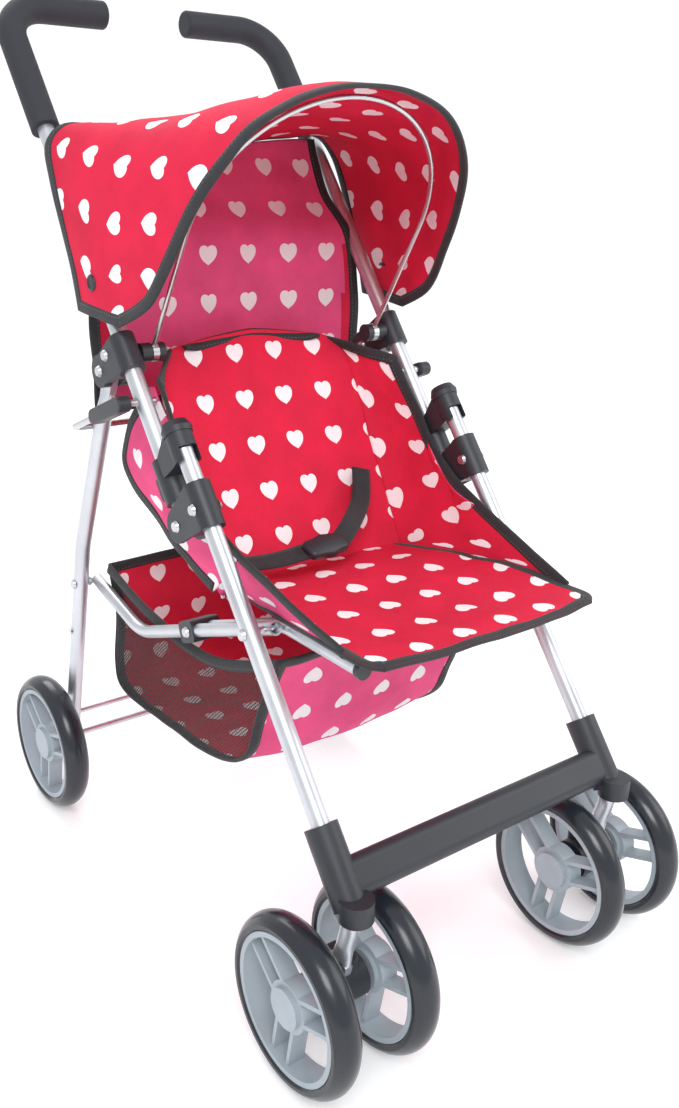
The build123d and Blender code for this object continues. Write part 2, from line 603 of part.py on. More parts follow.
def make_rear_rods():
    reach = REAR_WHEEL_X + RIM_WIDTH / 2 - AXLE_END_COVER
    with BuildPart() as axle:
        bar(REAR_AXLE, AXLE_RADIUS, -reach, reach)
    save(axle, "rear_axle")
    inner = FRAME_X - TUBE_RADIUS + TUBE_WALL
    with BuildPart() as rod:
        bar(on_rear_leg(REAR_AXLE[1] + CROSS_ROD_ABOVE), ROD_RADIUS, -inner, inner)
    save(rod, "rear_cross_rod")


def sweep_lock_wire(radius, mode=Mode.ADD):
    """The bar's wire: in through both handle tubes, back along each side and across the back."""
    inner = FRAME_X - TUBE_RADIUS - 2.0
    points = [(inner, *LOCK_BAR_PIVOT), (LOCK_BAR_X, *LOCK_BAR_PIVOT), (LOCK_BAR_X, *LOCK_BAR_CROSS)]
    points += [(-x, y, z) for x, y, z in reversed(points)]
    with BuildLine() as path:
        FilletPolyline(*points, radius=LOCK_BAR_BEND)
    with BuildSketch(Plane(origin=path.line @ 0, z_dir=path.line % 0)) as section:
        Circle(radius)
    sweep(section.sketch, path=path.line, mode=mode)


def make_lock_bar():
    """A wire bar behind the rear legs, turning in the handle tubes, with a moulded clip each side."""
    with BuildPart() as wire:
        sweep_lock_wire(LOCK_BAR_WIRE)
    save(wire, "lock_bar")
    clip_end = toward(LOCK_BAR_PIVOT, LOCK_BAR_CROSS, CLIP_LENGTH)
    with BuildPart() as clips:
        for side in (-1, 1):
            inner = side * (LOCK_BAR_X - CLIP_HALF_WIDTH)
            outer = side * (LOCK_BAR_X + CLIP_HALF_WIDTH)
            low = min(inner, outer)
            with BuildSketch(Plane.YZ.offset(low)) as outline:
                along = direction(LOCK_BAR_PIVOT, LOCK_BAR_CROSS)
                middle = Location(
                    (*between(LOCK_BAR_PIVOT, clip_end, 0.5), 0), degrees(atan2(along[1], along[0]))
                )
                with Locations(middle):
                    Rectangle(CLIP_LENGTH, CLIP_HEIGHT)
                with Locations(LOCK_BAR_PIVOT, clip_end):
                    Circle(CLIP_HEIGHT / 2)
            extrude(outline.sketch, amount=2 * CLIP_HALF_WIDTH)
        fillet(clips.edges().filter_by(GeomType.CIRCLE), radius=1.0)
        sweep_lock_wire(LOCK_BAR_WIRE, Mode.SUBTRACT)
    save(clips, "lock_bar_clips")


def make_rear_fasteners():
    """The link pivots on the rear legs and the snap buttons of the leg joints."""
    inner = LINK_X + LINK_TUBE_RADIUS + GAP + RIVET_HEAD_HEIGHT
    with BuildPart() as pieces:
        for side in (-1, 1):
            outer = FRAME_X + TUBE_RADIUS
            rivet(LINK_REAR, min(side * inner, side * outer), max(side * inner, side * outer))
            start, end = side * (FRAME_X + 1.0), side * (FRAME_X + TUBE_RADIUS + SNAP_PROUD)
            bar(on_rear_leg(LEG_SEAM_Z - SNAP_BELOW_SEAM), SNAP_RADIUS, min(start, end), max(start, end))
    save(pieces, "rear_fasteners")


# ---- Seat frame ----
def make_side_link():
    with BuildPart() as link:
        points = [(LINK_X, *LINK_REAR), (LINK_X, *LINK_BEND), (LINK_X, *toward(LINK_FRONT, LINK_BEND, -6))]
        add_tube(points, LINK_BEND_RADIUS, LINK_TUBE_RADIUS, TUBE_WALL)
        hole(LINK_FRONT, RIVET_RADIUS + RUNNING, LINK_X - THROUGH, LINK_X + THROUGH)
        hole(SEAT_BRACKET, RIVET_RADIUS, LINK_X - THROUGH, LINK_X + THROUGH)
    save_pair(link, "side_link")


def seat_tube_points():
    return [on_link(SEAT_BRACKET_Y + 6.0), LINK_FRONT, (SEAT_FRONT_Y, LINK_FRONT[1])]


def make_seat_tube():
    with BuildPart() as tube:
        points = [(SEAT_TUBE_X, *p) for p in seat_tube_points()]
        add_tube(points, LINK_BEND_RADIUS, LINK_TUBE_RADIUS, TUBE_WALL)
        hole(LINK_FRONT, RIVET_RADIUS + RUNNING, SEAT_TUBE_X - THROUGH, SEAT_TUBE_X + THROUGH)
        hole(SEAT_BRACKET, RIVET_RADIUS, SEAT_TUBE_X - THROUGH, SEAT_TUBE_X + THROUGH)
    save_pair(tube, "seat_tube")


def make_seat_plugs():
    front = seat_tube_points()[-1]
    with BuildPart() as plugs:
        for x in (-SEAT_TUBE_X, SEAT_TUBE_X):
            with BuildSketch(Plane(origin=(x, *front), x_dir=(1, 0, 0), z_dir=(0, -1, 0))) as face:
                Circle(LINK_TUBE_RADIUS + PLUG_RIM)
            extrude(face.sketch, amount=PLUG_HEAD)
            with BuildSketch(Plane(origin=(x, *front), x_dir=(1, 0, 0), z_dir=(0, 1, 0))) as stem:
                Circle(LINK_TUBE_RADIUS - TUBE_WALL)
            extrude(stem.sketch, amount=PLUG_STEM)
    save(plugs, "seat_tube_plugs")


def seat_block_sides():
    inner = SEAT_TUBE_X - LINK_TUBE_RADIUS - SEAT_BLOCK_WALL
    return inner, LINK_X + LINK_TUBE_RADIUS + SEAT_BLOCK_OUTER_WALL


def make_seat_brackets():
    """A moulded block on each side ties the seat tube's rear end to the side link."""
    along = direction(LINK_BEND, LINK_FRONT)
    with BuildPart() as blocks:
        for side in (-1, 1):
            inner, outer = seat_block_sides()
            with BuildSketch(Plane.YZ.offset(min(side * inner, side * outer))) as outline:
                with Locations(Location((*SEAT_BRACKET, 0), degrees(atan2(along[1], along[0])))):
                    RectangleRounded(SEAT_BLOCK_LENGTH, SEAT_BLOCK_HEIGHT, 3)
            extrude(outline.sketch, amount=outer - inner)
            for x in (SEAT_TUBE_X, LINK_X):
                with BuildLine() as path:
                    Line(
                        (side * x, *between(LINK_BEND, LINK_FRONT, 0.1)),
                        (side * x, *between(LINK_BEND, LINK_FRONT, 0.9)),
                    )
                with BuildSketch(Plane(origin=path.line @ 0, z_dir=path.line % 0)) as bore:
                    Circle(LINK_TUBE_RADIUS)
                sweep(bore.sketch, path=path.line, mode=Mode.SUBTRACT)
            hole(SEAT_BRACKET, RIVET_RADIUS, min(side * inner, side * outer), max(side * inner, side * outer))
    save(blocks, "seat_brackets")


def make_seat_rivets():
    with BuildPart() as rivets:
        for side in (-1, 1):
            inner, outer = seat_block_sides()
            rivet(SEAT_BRACKET, min(side * inner, side * outer), max(side * inner, side * outer))
    save(rivets, "seat_rivets")


# ---- Wheels ----
def make_wheel(name, x, y, outward):
    """A rim with three double-rib spokes and a closed hub disc outside, and a tyre round it."""
    centre = (y, WHEEL_RADIUS)
    inner_face = x - outward * RIM_WIDTH / 2
    outer_face = x + outward * RIM_WIDTH / 2
    with BuildPart() as rim:
        low = min(inner_face, outer_face)
        with BuildSketch(Plane.YZ.offset(low)) as ring:
            with Locations(centre):
                Circle(RIM_RADIUS)
                Circle(RIM_RADIUS - RIM_WALL, mode=Mode.SUBTRACT)
        extrude(ring.sketch, amount=RIM_WIDTH)
        with BuildSketch(Plane.YZ.offset(x - RIB_DEPTH / 2)) as ribs:
            with Locations(centre):
                with PolarLocations(0, SPOKES, start_angle=WHEEL_TURN):
                    with Locations((RIM_RADIUS / 2, RIB_SPREAD), (RIM_RADIUS / 2, -RIB_SPREAD)):
                        Rectangle(RIM_RADIUS - RIM_WALL / 2, RIB_THICKNESS)
                Circle(HUB_DISC_RADIUS)
                Circle(RIM_RADIUS - RIM_WALL / 2, mode=Mode.INTERSECT)
        extrude(ribs.sketch, amount=RIB_DEPTH)
        bar(centre, HUB_DISC_RADIUS - HUB_BOSS_INSET, low, low + RIM_WIDTH)
        blind = outer_face - outward * (AXLE_END_COVER - 0.5)
        hole(centre, AXLE_RADIUS + RUNNING, min(inner_face, blind), max(inner_face, blind))
    save(rim, f"rim_{name}")
    with BuildPart() as tyre:
        half = TYRE_WIDTH / 2
        with BuildSketch(Plane(origin=(x, y, WHEEL_RADIUS), x_dir=(1, 0, 0), z_dir=(0, -1, 0))) as section:
            with BuildLine():
                Polyline((-half, WHEEL_RADIUS - 5), (-half, RIM_RADIUS + 1.5), (-half + 1.5, RIM_RADIUS))
                Line((-half + 1.5, RIM_RADIUS), (half - 1.5, RIM_RADIUS))
                Polyline((half - 1.5, RIM_RADIUS), (half, RIM_RADIUS + 1.5), (half, WHEEL_RADIUS - 5))
                ThreePointArc((half, WHEEL_RADIUS - 5), (0, WHEEL_RADIUS), (-half, WHEEL_RADIUS - 5))
            make_face()
        revolve(section.sketch, axis=Axis((x, y, WHEEL_RADIUS), (1, 0, 0)))
    save(tyre, f"tyre_{name}")


def make_wheels():
    for side, sign in (("left", 1), ("right", -1)):
        make_wheel(f"front_{side}_outer", sign * (FRAME_X + TWIN_SPREAD), FRONT_AXLE[0], sign)
        make_wheel(f"front_{side}_inner", sign * (FRAME_X - TWIN_SPREAD), FRONT_AXLE[0], -sign)
        make_wheel(f"rear_{side}", sign * REAR_WHEEL_X, REAR_AXLE[0], sign)


# ---- Hood bow ----
def hood_point(up, ahead=0.0):
    """A side-view point in the bow's plane, up it from the pivot and square ahead of it."""
    return (
        HOOD_PIVOT[0] - up * sin(HOOD_LEAN) - ahead * cos(HOOD_LEAN),
        HOOD_PIVOT[1] + up * cos(HOOD_LEAN) - ahead * sin(HOOD_LEAN),
    )


def make_hood_bow():
    """A wire hoop whose two eyes turn on the hood pivots."""
    eye = HOOD_STUD_RADIUS + BOW_EYE_WALL
    foot = hood_point(eye - 0.8)
    shoulder = hood_point(HOOD_BOW_STRAIGHT)
    crown = hood_point(HOOD_BOW_STRAIGHT + BOW_EYE_X)
    with BuildPart() as bow:
        with BuildLine() as path:
            Line((BOW_EYE_X, *foot), (BOW_EYE_X, *shoulder))
            ThreePointArc((BOW_EYE_X, *shoulder), (0, *crown), (-BOW_EYE_X, *shoulder))
            Line((-BOW_EYE_X, *shoulder), (-BOW_EYE_X, *foot))
        with BuildSketch(Plane(origin=path.line @ 0, z_dir=path.line % 0)) as section:
            Circle(HOOD_WIRE_RADIUS)
        sweep(section.sketch, path=path.line)
        for x in (-BOW_EYE_X, BOW_EYE_X):
            bar(HOOD_PIVOT, eye, x - BOW_EYE_HALF, x + BOW_EYE_HALF)
            hole(HOOD_PIVOT, HOOD_STUD_RADIUS + RUNNING, x - BOW_EYE_HALF - 1, x + BOW_EYE_HALF + 1)
    save(bow, "hood_bow")


# ---- Cloth pieces, as plain solids ----
HOOD_REAR_TOP = move(FOLD_PIVOT, 248.0, -TUBE_RADIUS - CLOTH_CLEAR)


def make_hood_canopy():
    """An arched shell from the bow back to the handle tubes, open in front, behind and below."""
    crown = hood_point(HOOD_BOW_STRAIGHT + BOW_EYE_X)
    top_z = crown[1] + HOOD_WIRE_RADIUS + HOOD_TOP_ROOM + CLOTH
    arch_height = top_z - HOOD_ARCH_SPRING_Z
    front, rear = FRONT_AXLE[0], REAR_AXLE[0]
    with BuildPart() as hood:
        with BuildSketch(Plane(origin=(0, rear, 0), x_dir=(1, 0, 0), z_dir=(0, -1, 0))) as arch:
            for half, rise, mode in (
                (HOOD_HALF_WIDTH, arch_height, Mode.ADD),
                (HOOD_HALF_WIDTH - CLOTH, arch_height - CLOTH, Mode.SUBTRACT),
            ):
                with Locations((0, HOOD_ARCH_SPRING_Z)):
                    Ellipse(half, rise, mode=mode)
                with Locations((0, HOOD_ARCH_SPRING_Z - 60)):
                    Rectangle(2 * half, 120, mode=mode)
        extrude(arch.sketch, amount=rear - front)
        with BuildSketch(Plane.YZ.offset(-HOOD_HALF_WIDTH)) as outline:
            with BuildLine():
                Polyline(
                    hood_point(16.0, HOOD_OVERHANG),
                    hood_point((top_z + 12 - HOOD_PIVOT[1]) / cos(HOOD_LEAN), HOOD_OVERHANG),
                    (HOOD_REAR_TOP[0] - 22, top_z + 2),
                    HOOD_REAR_TOP,
                    (HOOD_REAR_TOP[0] - 48, HOOD_SKIRT_Z + 30),
                    (HOOD_REAR_TOP[0] - 60, HOOD_SKIRT_Z),
                    close=True,
                )
            make_face()
        extrude(outline.sketch, amount=2 * HOOD_HALF_WIDTH, mode=Mode.INTERSECT)
    save(hood, "hood_canopy")


def make_back_panel():
    """Hangs between the handle tubes and down to the lock bar, behind the seat."""
    half = FRAME_X - TUBE_RADIUS - CLOTH_CLEAR
    foot = (LOCK_BAR_CROSS[0] - 8.0, LOCK_BAR_CROSS[1] + 8.0)
    knee = (foot[0] + 3.0, 405.0)
    top = move(FOLD_PIVOT, 236.0, 2.0)
    with BuildPart() as panel:
        with BuildSketch(Plane.YZ.offset(-half)) as outline:
            with BuildLine():
                Polyline(
                    foot, knee, top,
                    (top[0] - CLOTH, top[1] + 1), (knee[0] - CLOTH, knee[1]), (foot[0] - CLOTH, foot[1]),
                    close=True,
                )
            make_face()
        extrude(outline.sketch, amount=2 * half)
    save(panel, "back_panel")


def make_seat():
    """The seat's cushion and its back rest, each a plain slab."""
    with BuildPart() as pan:
        with BuildSketch(Plane.YZ.offset(-SEAT_HALF_WIDTH)) as outline:
            with BuildLine():
                Polyline(
                    SEAT_FRONT, (SEAT_FRONT[0], SEAT_FRONT[1] + PAD), SEAT_KNEE,
                    (SEAT_CREASE[0] - 4, SEAT_CREASE[1] + PAD), (SEAT_CREASE[0] - 4, SEAT_CREASE[1]),
                    (SEAT_KNEE[0], SEAT_KNEE[1] - PAD), close=True,
                )
            make_face()
        extrude(outline.sketch, amount=2 * SEAT_HALF_WIDTH)
    save(pan, "seat_pan")
    back_half = BOW_EYE_X - BOW_EYE_HALF - HOOD_HEAD_LENGTH - SEAT_BACK_ROOM
    with BuildPart() as back:
        with BuildSketch(Plane.YZ.offset(-back_half)) as outline:
            with BuildLine():
                Polyline(
                    SEAT_CREASE, SEAT_BACK_TOP, (SEAT_BACK_TOP[0] + PAD, SEAT_BACK_TOP[1]),
                    (SEAT_CREASE[0] + PAD + 1, SEAT_CREASE[1]), close=True,
                )
            make_face()
        extrude(outline.sketch, amount=2 * back_half)
    save(back, "seat_back")


def make_side_wing():
    """The cloth side between the seat, the back rest and the handle tube."""
    outer = FRAME_X - HALF_SLEEVE - CLOTH_CLEAR
    bolt = LOCK_BAR_PIVOT
    with BuildPart() as wing:
        with BuildSketch(Plane.YZ.offset(outer - CLOTH)) as outline:
            with BuildLine():
                Polyline(
                    move(bolt, 12, 4), move(bolt, -8, -16), move(FOLD_PIVOT, -16, -40),
                    (LINK_FRONT[0] + 2, LINK_FRONT[1] + 18), (LINK_FRONT[0] + 56, LINK_FRONT[1] + 4),
                    (bolt[0] + 45, bolt[1] - 52), (bolt[0] + 42, bolt[1] - 25), close=True,
                )
            make_face()
        extrude(outline.sketch, amount=CLOTH)
    save_pair(wing, "side_wing")


def make_basket():
    """A cloth bag under the seat, open at the top."""
    rear = on_rear_leg(BASKET_TOP_Z)[0] - TUBE_RADIUS - 1.0
    with BuildPart() as basket:
        with BuildSketch(Plane.YZ.offset(-BASKET_HALF_WIDTH)) as outline:
            with BuildLine():
                Polyline(
                    (rear, BASKET_TOP_Z), (rear - 57, 178.0), (rear - 110, 168.0), (rear - 135, 168.0),
                    (rear - 195, 190.0), (rear - 172, 116.0), (rear - 152, 100.0), (rear - 4, 96.0),
                    close=True,
                )
            make_face()
        extrude(outline.sketch, amount=2 * BASKET_HALF_WIDTH)
        with BuildSketch(Plane.YZ.offset(-BASKET_HALF_WIDTH + CLOTH)) as inside:
            with BuildLine():
                Polyline(
                    (rear - CLOTH, 220.0), (rear - 205 + 2 * CLOTH, 220.0), (rear - 195 + CLOTH, 190.0),
                    (rear - 172 + CLOTH, 117.0), (rear - 152 + CLOTH / 2, 100.0 + CLOTH),
                    (rear - 4 - CLOTH, 96.0 + CLOTH), close=True,
                )
            make_face()
        extrude(inside.sketch, amount=2 * (BASKET_HALF_WIDTH - CLOTH), mode=Mode.SUBTRACT)
    save(basket, "basket")


def make_lap_belt():
    """A webbing belt across the lap, with its buckle."""
    level = SEAT_CREASE[1] + PAD + 8
    y = SEAT_CREASE[0] - 30
    with BuildPart() as belt:
        for side in (-1, 1):
            with BuildSketch(Plane.XY.offset(level)) as strap:
                with Locations((side * 38.0, y)):
                    Rectangle(48, BELT_WIDTH)
            extrude(strap.sketch, amount=BELT_THICKNESS)
    save(belt, "lap_belt")
    with BuildPart() as buckle:
        with BuildSketch(Plane.XY.offset(level - 1)) as plate:
            with Locations((0, y)):
                RectangleRounded(28 - 2 * GAP, BELT_WIDTH + 4, 3)
        extrude(plate.sketch, amount=BELT_THICKNESS + 3)
    save(buckle, "belt_buckle")


make_front_leg()
make_front_hub()
make_front_axles()
make_front_crossbar()
make_lower_clamp()
make_front_rivets()
make_handle_tube()
make_grip()
make_upper_bracket()
make_handle_rivets()
make_hood_pivots()
make_slider_lock()
make_rear_legs()
make_rear_rods()
make_lock_bar()
make_rear_fasteners()
make_side_link()
make_seat_tube()
make_seat_plugs()
make_seat_brackets()
make_seat_rivets()
make_wheels()
make_hood_bow()
make_hood_canopy()
make_back_panel()
make_seat()
make_side_wing()
make_basket()
make_lap_belt()
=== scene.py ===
"""The looks of the folding doll stroller: materials on its hard pieces, and its cloth.

Metres, in the CAD frame: +Z up, the child faces -Y, the pusher stands at +Y.
"""
import json
import math
import bpy
from mathutils import Matrix, Vector, noise


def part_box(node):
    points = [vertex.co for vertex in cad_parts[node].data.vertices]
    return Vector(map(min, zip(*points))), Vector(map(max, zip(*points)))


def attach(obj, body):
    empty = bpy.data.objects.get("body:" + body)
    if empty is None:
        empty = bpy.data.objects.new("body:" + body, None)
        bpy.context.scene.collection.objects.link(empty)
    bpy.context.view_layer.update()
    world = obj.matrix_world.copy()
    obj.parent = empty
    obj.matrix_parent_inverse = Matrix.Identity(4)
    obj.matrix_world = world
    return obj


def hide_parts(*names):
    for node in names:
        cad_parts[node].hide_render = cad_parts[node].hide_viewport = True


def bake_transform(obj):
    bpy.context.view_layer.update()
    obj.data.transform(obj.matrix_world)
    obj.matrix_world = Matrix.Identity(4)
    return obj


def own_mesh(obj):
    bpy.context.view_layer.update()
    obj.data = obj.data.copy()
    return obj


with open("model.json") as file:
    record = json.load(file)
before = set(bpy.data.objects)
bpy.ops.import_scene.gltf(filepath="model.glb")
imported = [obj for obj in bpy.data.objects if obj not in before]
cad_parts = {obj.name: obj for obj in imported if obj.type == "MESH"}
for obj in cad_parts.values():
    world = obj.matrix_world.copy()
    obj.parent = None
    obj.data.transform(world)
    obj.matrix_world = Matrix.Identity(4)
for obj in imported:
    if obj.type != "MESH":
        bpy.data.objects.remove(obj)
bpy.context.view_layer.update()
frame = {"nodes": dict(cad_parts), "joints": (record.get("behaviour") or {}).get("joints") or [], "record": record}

MM = 0.001
JOINTS = {joint["name"]: joint for joint in frame["joints"]}
UP = Vector(JOINTS["slider_lock_left_slide"]["axis"]).normalized()
BACK = Vector((0, UP.z, -UP.y))
FOLD = Vector(JOINTS["fold"]["pos_m"])

CLOTH_THICKNESS = 1.2 * MM
BINDING_WIDTH = 7.0 * MM
BINDING_THICKNESS = 2.6 * MM
BINDING_PROUD = 0.8 * MM        # how far the tape stands past the cloth's edge
BINDING_RING = 12               # points round the tape
THREAD = 0.55 * MM
NET_PITCH = 1.7 * MM
NET_THREAD_SHARE = 0.24
TREAD_RADIUS = 43.6 * MM        # middle of the row of moulded marks on a tyre's side
BUCKLE_STEPS = 32
HOOD_DRAWN_HALF = 106           # half width that the hood's rows are drawn for
HEART_COLOR = (0.90, 0.84, 0.86)
WING_ROWS, WING_COLUMNS = 41, 21
BASKET_ROWS, NET_COLUMNS = 101, 17
STRAP_POINTS = 41
VIEW_YAW, VIEW_PITCH, VIEW_ROLL = 0.666, 0.347, 0.029
CAMERA_PLACE = Vector((-0.3816, -0.5126, 0.4470))
CAMERA_LENS = 35.63
FLOOR_FRONT, FLOOR_REAR, FLOOR_BEND, FLOOR_TOP = -7.0, 3.0, 1.5, 7.0
LAMPS = (
    ("key", (-0.9, -1.3, 1.7), 24, 0.9),
    ("fill", (1.4, -1.0, 1.1), 10, 1.2),
    ("back", (0.2, 1.5, 1.6), 14, 1.0),
)
LAMPS_AIM = Vector((0, 0, 0.25))


# ---- Material nodes ----
class Nodes:
    """Short calls for building one node tree."""

    def __init__(self, tree):
        self.tree = tree

    def add(self, kind, **values):
        node = self.tree.nodes.new(kind)
        for name, value in values.items():
            setattr(node, name, value)
        return node

    def link(self, source, target):
        if isinstance(source, (int, float)):
            target.default_value = source
        else:
            self.tree.links.new(source, target)

    def math(self, operation, *inputs):
        node = self.add("ShaderNodeMath", operation=operation)
        for value, socket in zip(inputs, node.inputs):
            self.link(value, socket)
        return node.outputs[0]

    def noise(self, vector, scale, detail=3.0, rough=0.55):
        node = self.add("ShaderNodeTexNoise")
        node.inputs["Scale"].default_value = scale
        node.inputs["Detail"].default_value = detail
        node.inputs["Roughness"].default_value = rough
        self.link(vector, node.inputs["Vector"])
        return node.outputs["Fac"]

    def spread(self, value, low, high):
        node = self.add("ShaderNodeMapRange")
        self.link(value, node.inputs["Value"])
        node.inputs["From Min"].default_value = 0.3
        node.inputs["From Max"].default_value = 0.7
        node.inputs["To Min"].default_value = low
        node.inputs["To Max"].default_value = high
        return node.outputs["Result"]

    def mix(self, factor, first, second):
        node = self.add("ShaderNodeMix", data_type="RGBA")
        self.link(factor, node.inputs["Factor"])
        for value, socket in ((first, node.inputs[6]), (second, node.inputs[7])):
            if isinstance(value, tuple):
                socket.default_value = (*value, 1)
            else:
                self.tree.links.new(value, socket)
        return node.outputs[2]

    def split(self, vector):
        node = self.add("ShaderNodeSeparateXYZ")
        self.link(vector, node.inputs[0])
        return node.outputs

    def bump(self, height, distance, strength=1.0):
        node = self.add("ShaderNodeBump")
        node.inputs["Strength"].default_value = strength
        node.inputs["Distance"].default_value = distance
        self.link(height, node.inputs["Height"])
        return node.outputs["Normal"]


def new_material(name):
    """A material, its node helper and the inputs of its shader."""
    material = bpy.data.materials.new(name)
    material.use_nodes = True
    nodes = Nodes(material.node_tree)
    shader = next(n for n in material.node_tree.nodes if n.type == "BSDF_PRINCIPLED")
    return material, nodes, shader.inputs


def hard_material(name, color, rough, metallic=0.0, grain=700.0, depth=0.05, coat=0.0):
    """A hard surface with fine grain, soft colour variation and slight wear."""
    material, nodes, shader = new_material(name)
    place = nodes.add("ShaderNodeTexCoord").outputs["Object"]
    fine = nodes.noise(place, grain)
    broad = nodes.noise(place, 28.0, 4.0)
    shade = nodes.mix(
        nodes.spread(broad, 0.0, 1.0), tuple(c * 0.88 for c in color), tuple(min(c * 1.1, 1) for c in color)
    )
    nodes.link(shade, shader["Base Color"])
    nodes.link(nodes.spread(broad, rough - 0.05, rough + 0.07), shader["Roughness"])
    nodes.link(nodes.bump(fine, depth * MM), shader["Normal"])
    shader["Metallic"].default_value = metallic
    shader["Coat Weight"].default_value = coat
    return material


def heart_mask(nodes, uv, spacing, size):
    """1 inside a heart repeated on a grid: (x^2 + y^2 - 1)^3 < x^2 y^3."""
    parts = nodes.split(uv)
    local = []
    for axis in ("X", "Y"):
        cell = nodes.math("FRACT", nodes.math("DIVIDE", parts[axis], spacing))
        local.append(nodes.math("MULTIPLY", nodes.math("SUBTRACT", cell, 0.5), 2.3 * spacing / size))
    x, y = local
    x2 = nodes.math("MULTIPLY", x, x)
    y2 = nodes.math("MULTIPLY", y, y)
    ring = nodes.math("SUBTRACT", nodes.math("ADD", x2, y2), 1.0)
    ring3 = nodes.math("MULTIPLY", nodes.math("MULTIPLY", ring, ring), ring)
    lobe = nodes.math("MULTIPLY", x2, nodes.math("MULTIPLY", y2, y))
    return nodes.math("LESS_THAN", ring3, lobe)


def weave_height(nodes, uv):
    """Over and under threads, as a product of two sines."""
    parts = nodes.split(uv)
    waves = []
    for axis in ("X", "Y"):
        turn = nodes.math("MULTIPLY", parts[axis], math.pi / THREAD)
        waves.append(nodes.math("SINE", turn))
    return nodes.math("MULTIPLY", *waves)


def cloth_material(name, color, spacing, size):
    """Printed woven cloth: threads, soft colour variation and a grid of hearts."""
    material, nodes, shader = new_material(name)
    uv = nodes.add("ShaderNodeTexCoord").outputs["UV"]
    broad = nodes.noise(uv, 32.0, 4.0)
    fine = nodes.noise(uv, 1500.0, 2.0)
    dark = tuple(c * 0.86 for c in color)
    light = tuple(min(c * 1.10, 1) for c in color)
    ground = nodes.mix(nodes.spread(broad, 0.0, 1.0), dark, light)
    printed = nodes.mix(heart_mask(nodes, uv, spacing, size), ground, HEART_COLOR)
    weave = weave_height(nodes, uv)
    fading = nodes.math("MULTIPLY", nodes.spread(fine, 0.0, 1.0), 0.03)
    nodes.link(nodes.mix(fading, printed, (1.0, 0.85, 0.88)), shader["Base Color"])
    height = nodes.math("ADD", nodes.math("MULTIPLY", weave, 0.5), fine)
    nodes.link(nodes.bump(height, 0.10 * MM, 0.8), shader["Normal"])
    nodes.link(nodes.spread(fine, 0.68, 0.86), shader["Roughness"])
    shader["Specular IOR Level"].default_value = 0.18
    return material


def binding_material(name, stitch=True):
    """Black tape with a ribbed weave and a row of stitches. U runs along it and V across."""
    material, nodes, shader = new_material(name)
    uv = nodes.add("ShaderNodeTexCoord").outputs["UV"]
    parts = nodes.split(uv)
    ribs = nodes.math("SINE", nodes.math("MULTIPLY", parts["X"], math.tau / (0.8 * MM)))
    height = nodes.math("MULTIPLY", ribs, 0.4)
    color = nodes.mix(nodes.noise(uv, 200.0), (0.012, 0.013, 0.016), (0.028, 0.029, 0.033))
    if stitch:
        stitches = nodes.math("SINE", nodes.math("MULTIPLY", parts["X"], math.tau / (2.6 * MM)))
        off_seam = nodes.math("ABSOLUTE", nodes.math("SUBTRACT", parts["Y"], 5.2 * MM))
        dash = nodes.math("GREATER_THAN", stitches, -0.3)
        row = nodes.math("LESS_THAN", off_seam, 0.35 * MM)
        seam = nodes.math("MULTIPLY", dash, row)
        color = nodes.mix(seam, color, (0.07, 0.07, 0.075))
        height = nodes.math("ADD", height, nodes.math("MULTIPLY", seam, 1.5))
    nodes.link(color, shader["Base Color"])
    nodes.link(nodes.bump(height, 0.15 * MM), shader["Normal"])
    shader["Roughness"].default_value = 0.8
    shader["Sheen Weight"].default_value = 0.1
    return material


def net_material(name):
    """Open black netting: threads on a slanted grid with clear holes between them."""
    material, nodes, shader = new_material(name)
    uv = nodes.add("ShaderNodeTexCoord").outputs["UV"]
    parts = nodes.split(uv)
    masks = []
    for operation in ("ADD", "SUBTRACT"):
        line = nodes.math(operation, parts["X"], parts["Y"])
        cell = nodes.math("FRACT", nodes.math("DIVIDE", line, NET_PITCH * 1.414))
        masks.append(nodes.math("LESS_THAN", cell, NET_THREAD_SHARE))
    thread = nodes.math("MAXIMUM", *masks)
    nodes.link(thread, shader["Alpha"])
    shade = nodes.mix(nodes.noise(uv, 300.0), (0.012, 0.012, 0.014), (0.035, 0.033, 0.036))
    nodes.link(shade, shader["Base Color"])
    shader["Roughness"].default_value = 0.7
    return material


def tyre_material(name, centre):
    """Glossy dark tyre with small moulded blocks round its side."""
    material, nodes, shader = new_material(name)
    place = nodes.add("ShaderNodeTexCoord").outputs["Object"]
    shift = nodes.add("ShaderNodeVectorMath", operation="SUBTRACT")
    nodes.link(place, shift.inputs[0])
    shift.inputs[1].default_value = centre
    parts = nodes.split(shift.outputs[0])
    y, z = parts["Y"], parts["Z"]
    radius = nodes.math("SQRT", nodes.math("ADD", nodes.math("MULTIPLY", y, y), nodes.math("MULTIPLY", z, z)))
    turn = nodes.math("ARCTAN2", z, y)
    wave = nodes.math("SINE", nodes.math("MULTIPLY", turn, 22.0))
    slant = nodes.math("ADD", nodes.math("MULTIPLY", turn, 44.0), nodes.math("MULTIPLY", radius, 1600.0))
    skew = nodes.math("SINE", slant)
    off_row = nodes.math("ABSOLUTE", nodes.math("SUBTRACT", radius, TREAD_RADIUS))
    inside = nodes.math("LESS_THAN", off_row, 1.3 * MM)
    blocks = nodes.math("GREATER_THAN", wave, 0.2)
    cuts = nodes.math("GREATER_THAN", skew, -0.2)
    mark = nodes.math("MULTIPLY", inside, nodes.math("MULTIPLY", blocks, cuts))
    fine = nodes.noise(place, 900.0)
    height = nodes.math("ADD", nodes.math("MULTIPLY", mark, 1.0), nodes.math("MULTIPLY", fine, 0.06))
    nodes.link(nodes.bump(height, 0.35 * MM), shader["Normal"])
    shade = nodes.mix(nodes.noise(place, 40.0), (0.010, 0.013, 0.018), (0.020, 0.024, 0.031))
    nodes.link(shade, shader["Base Color"])
    nodes.link(nodes.spread(nodes.noise(place, 60.0), 0.16, 0.28), shader["Roughness"])
    return material


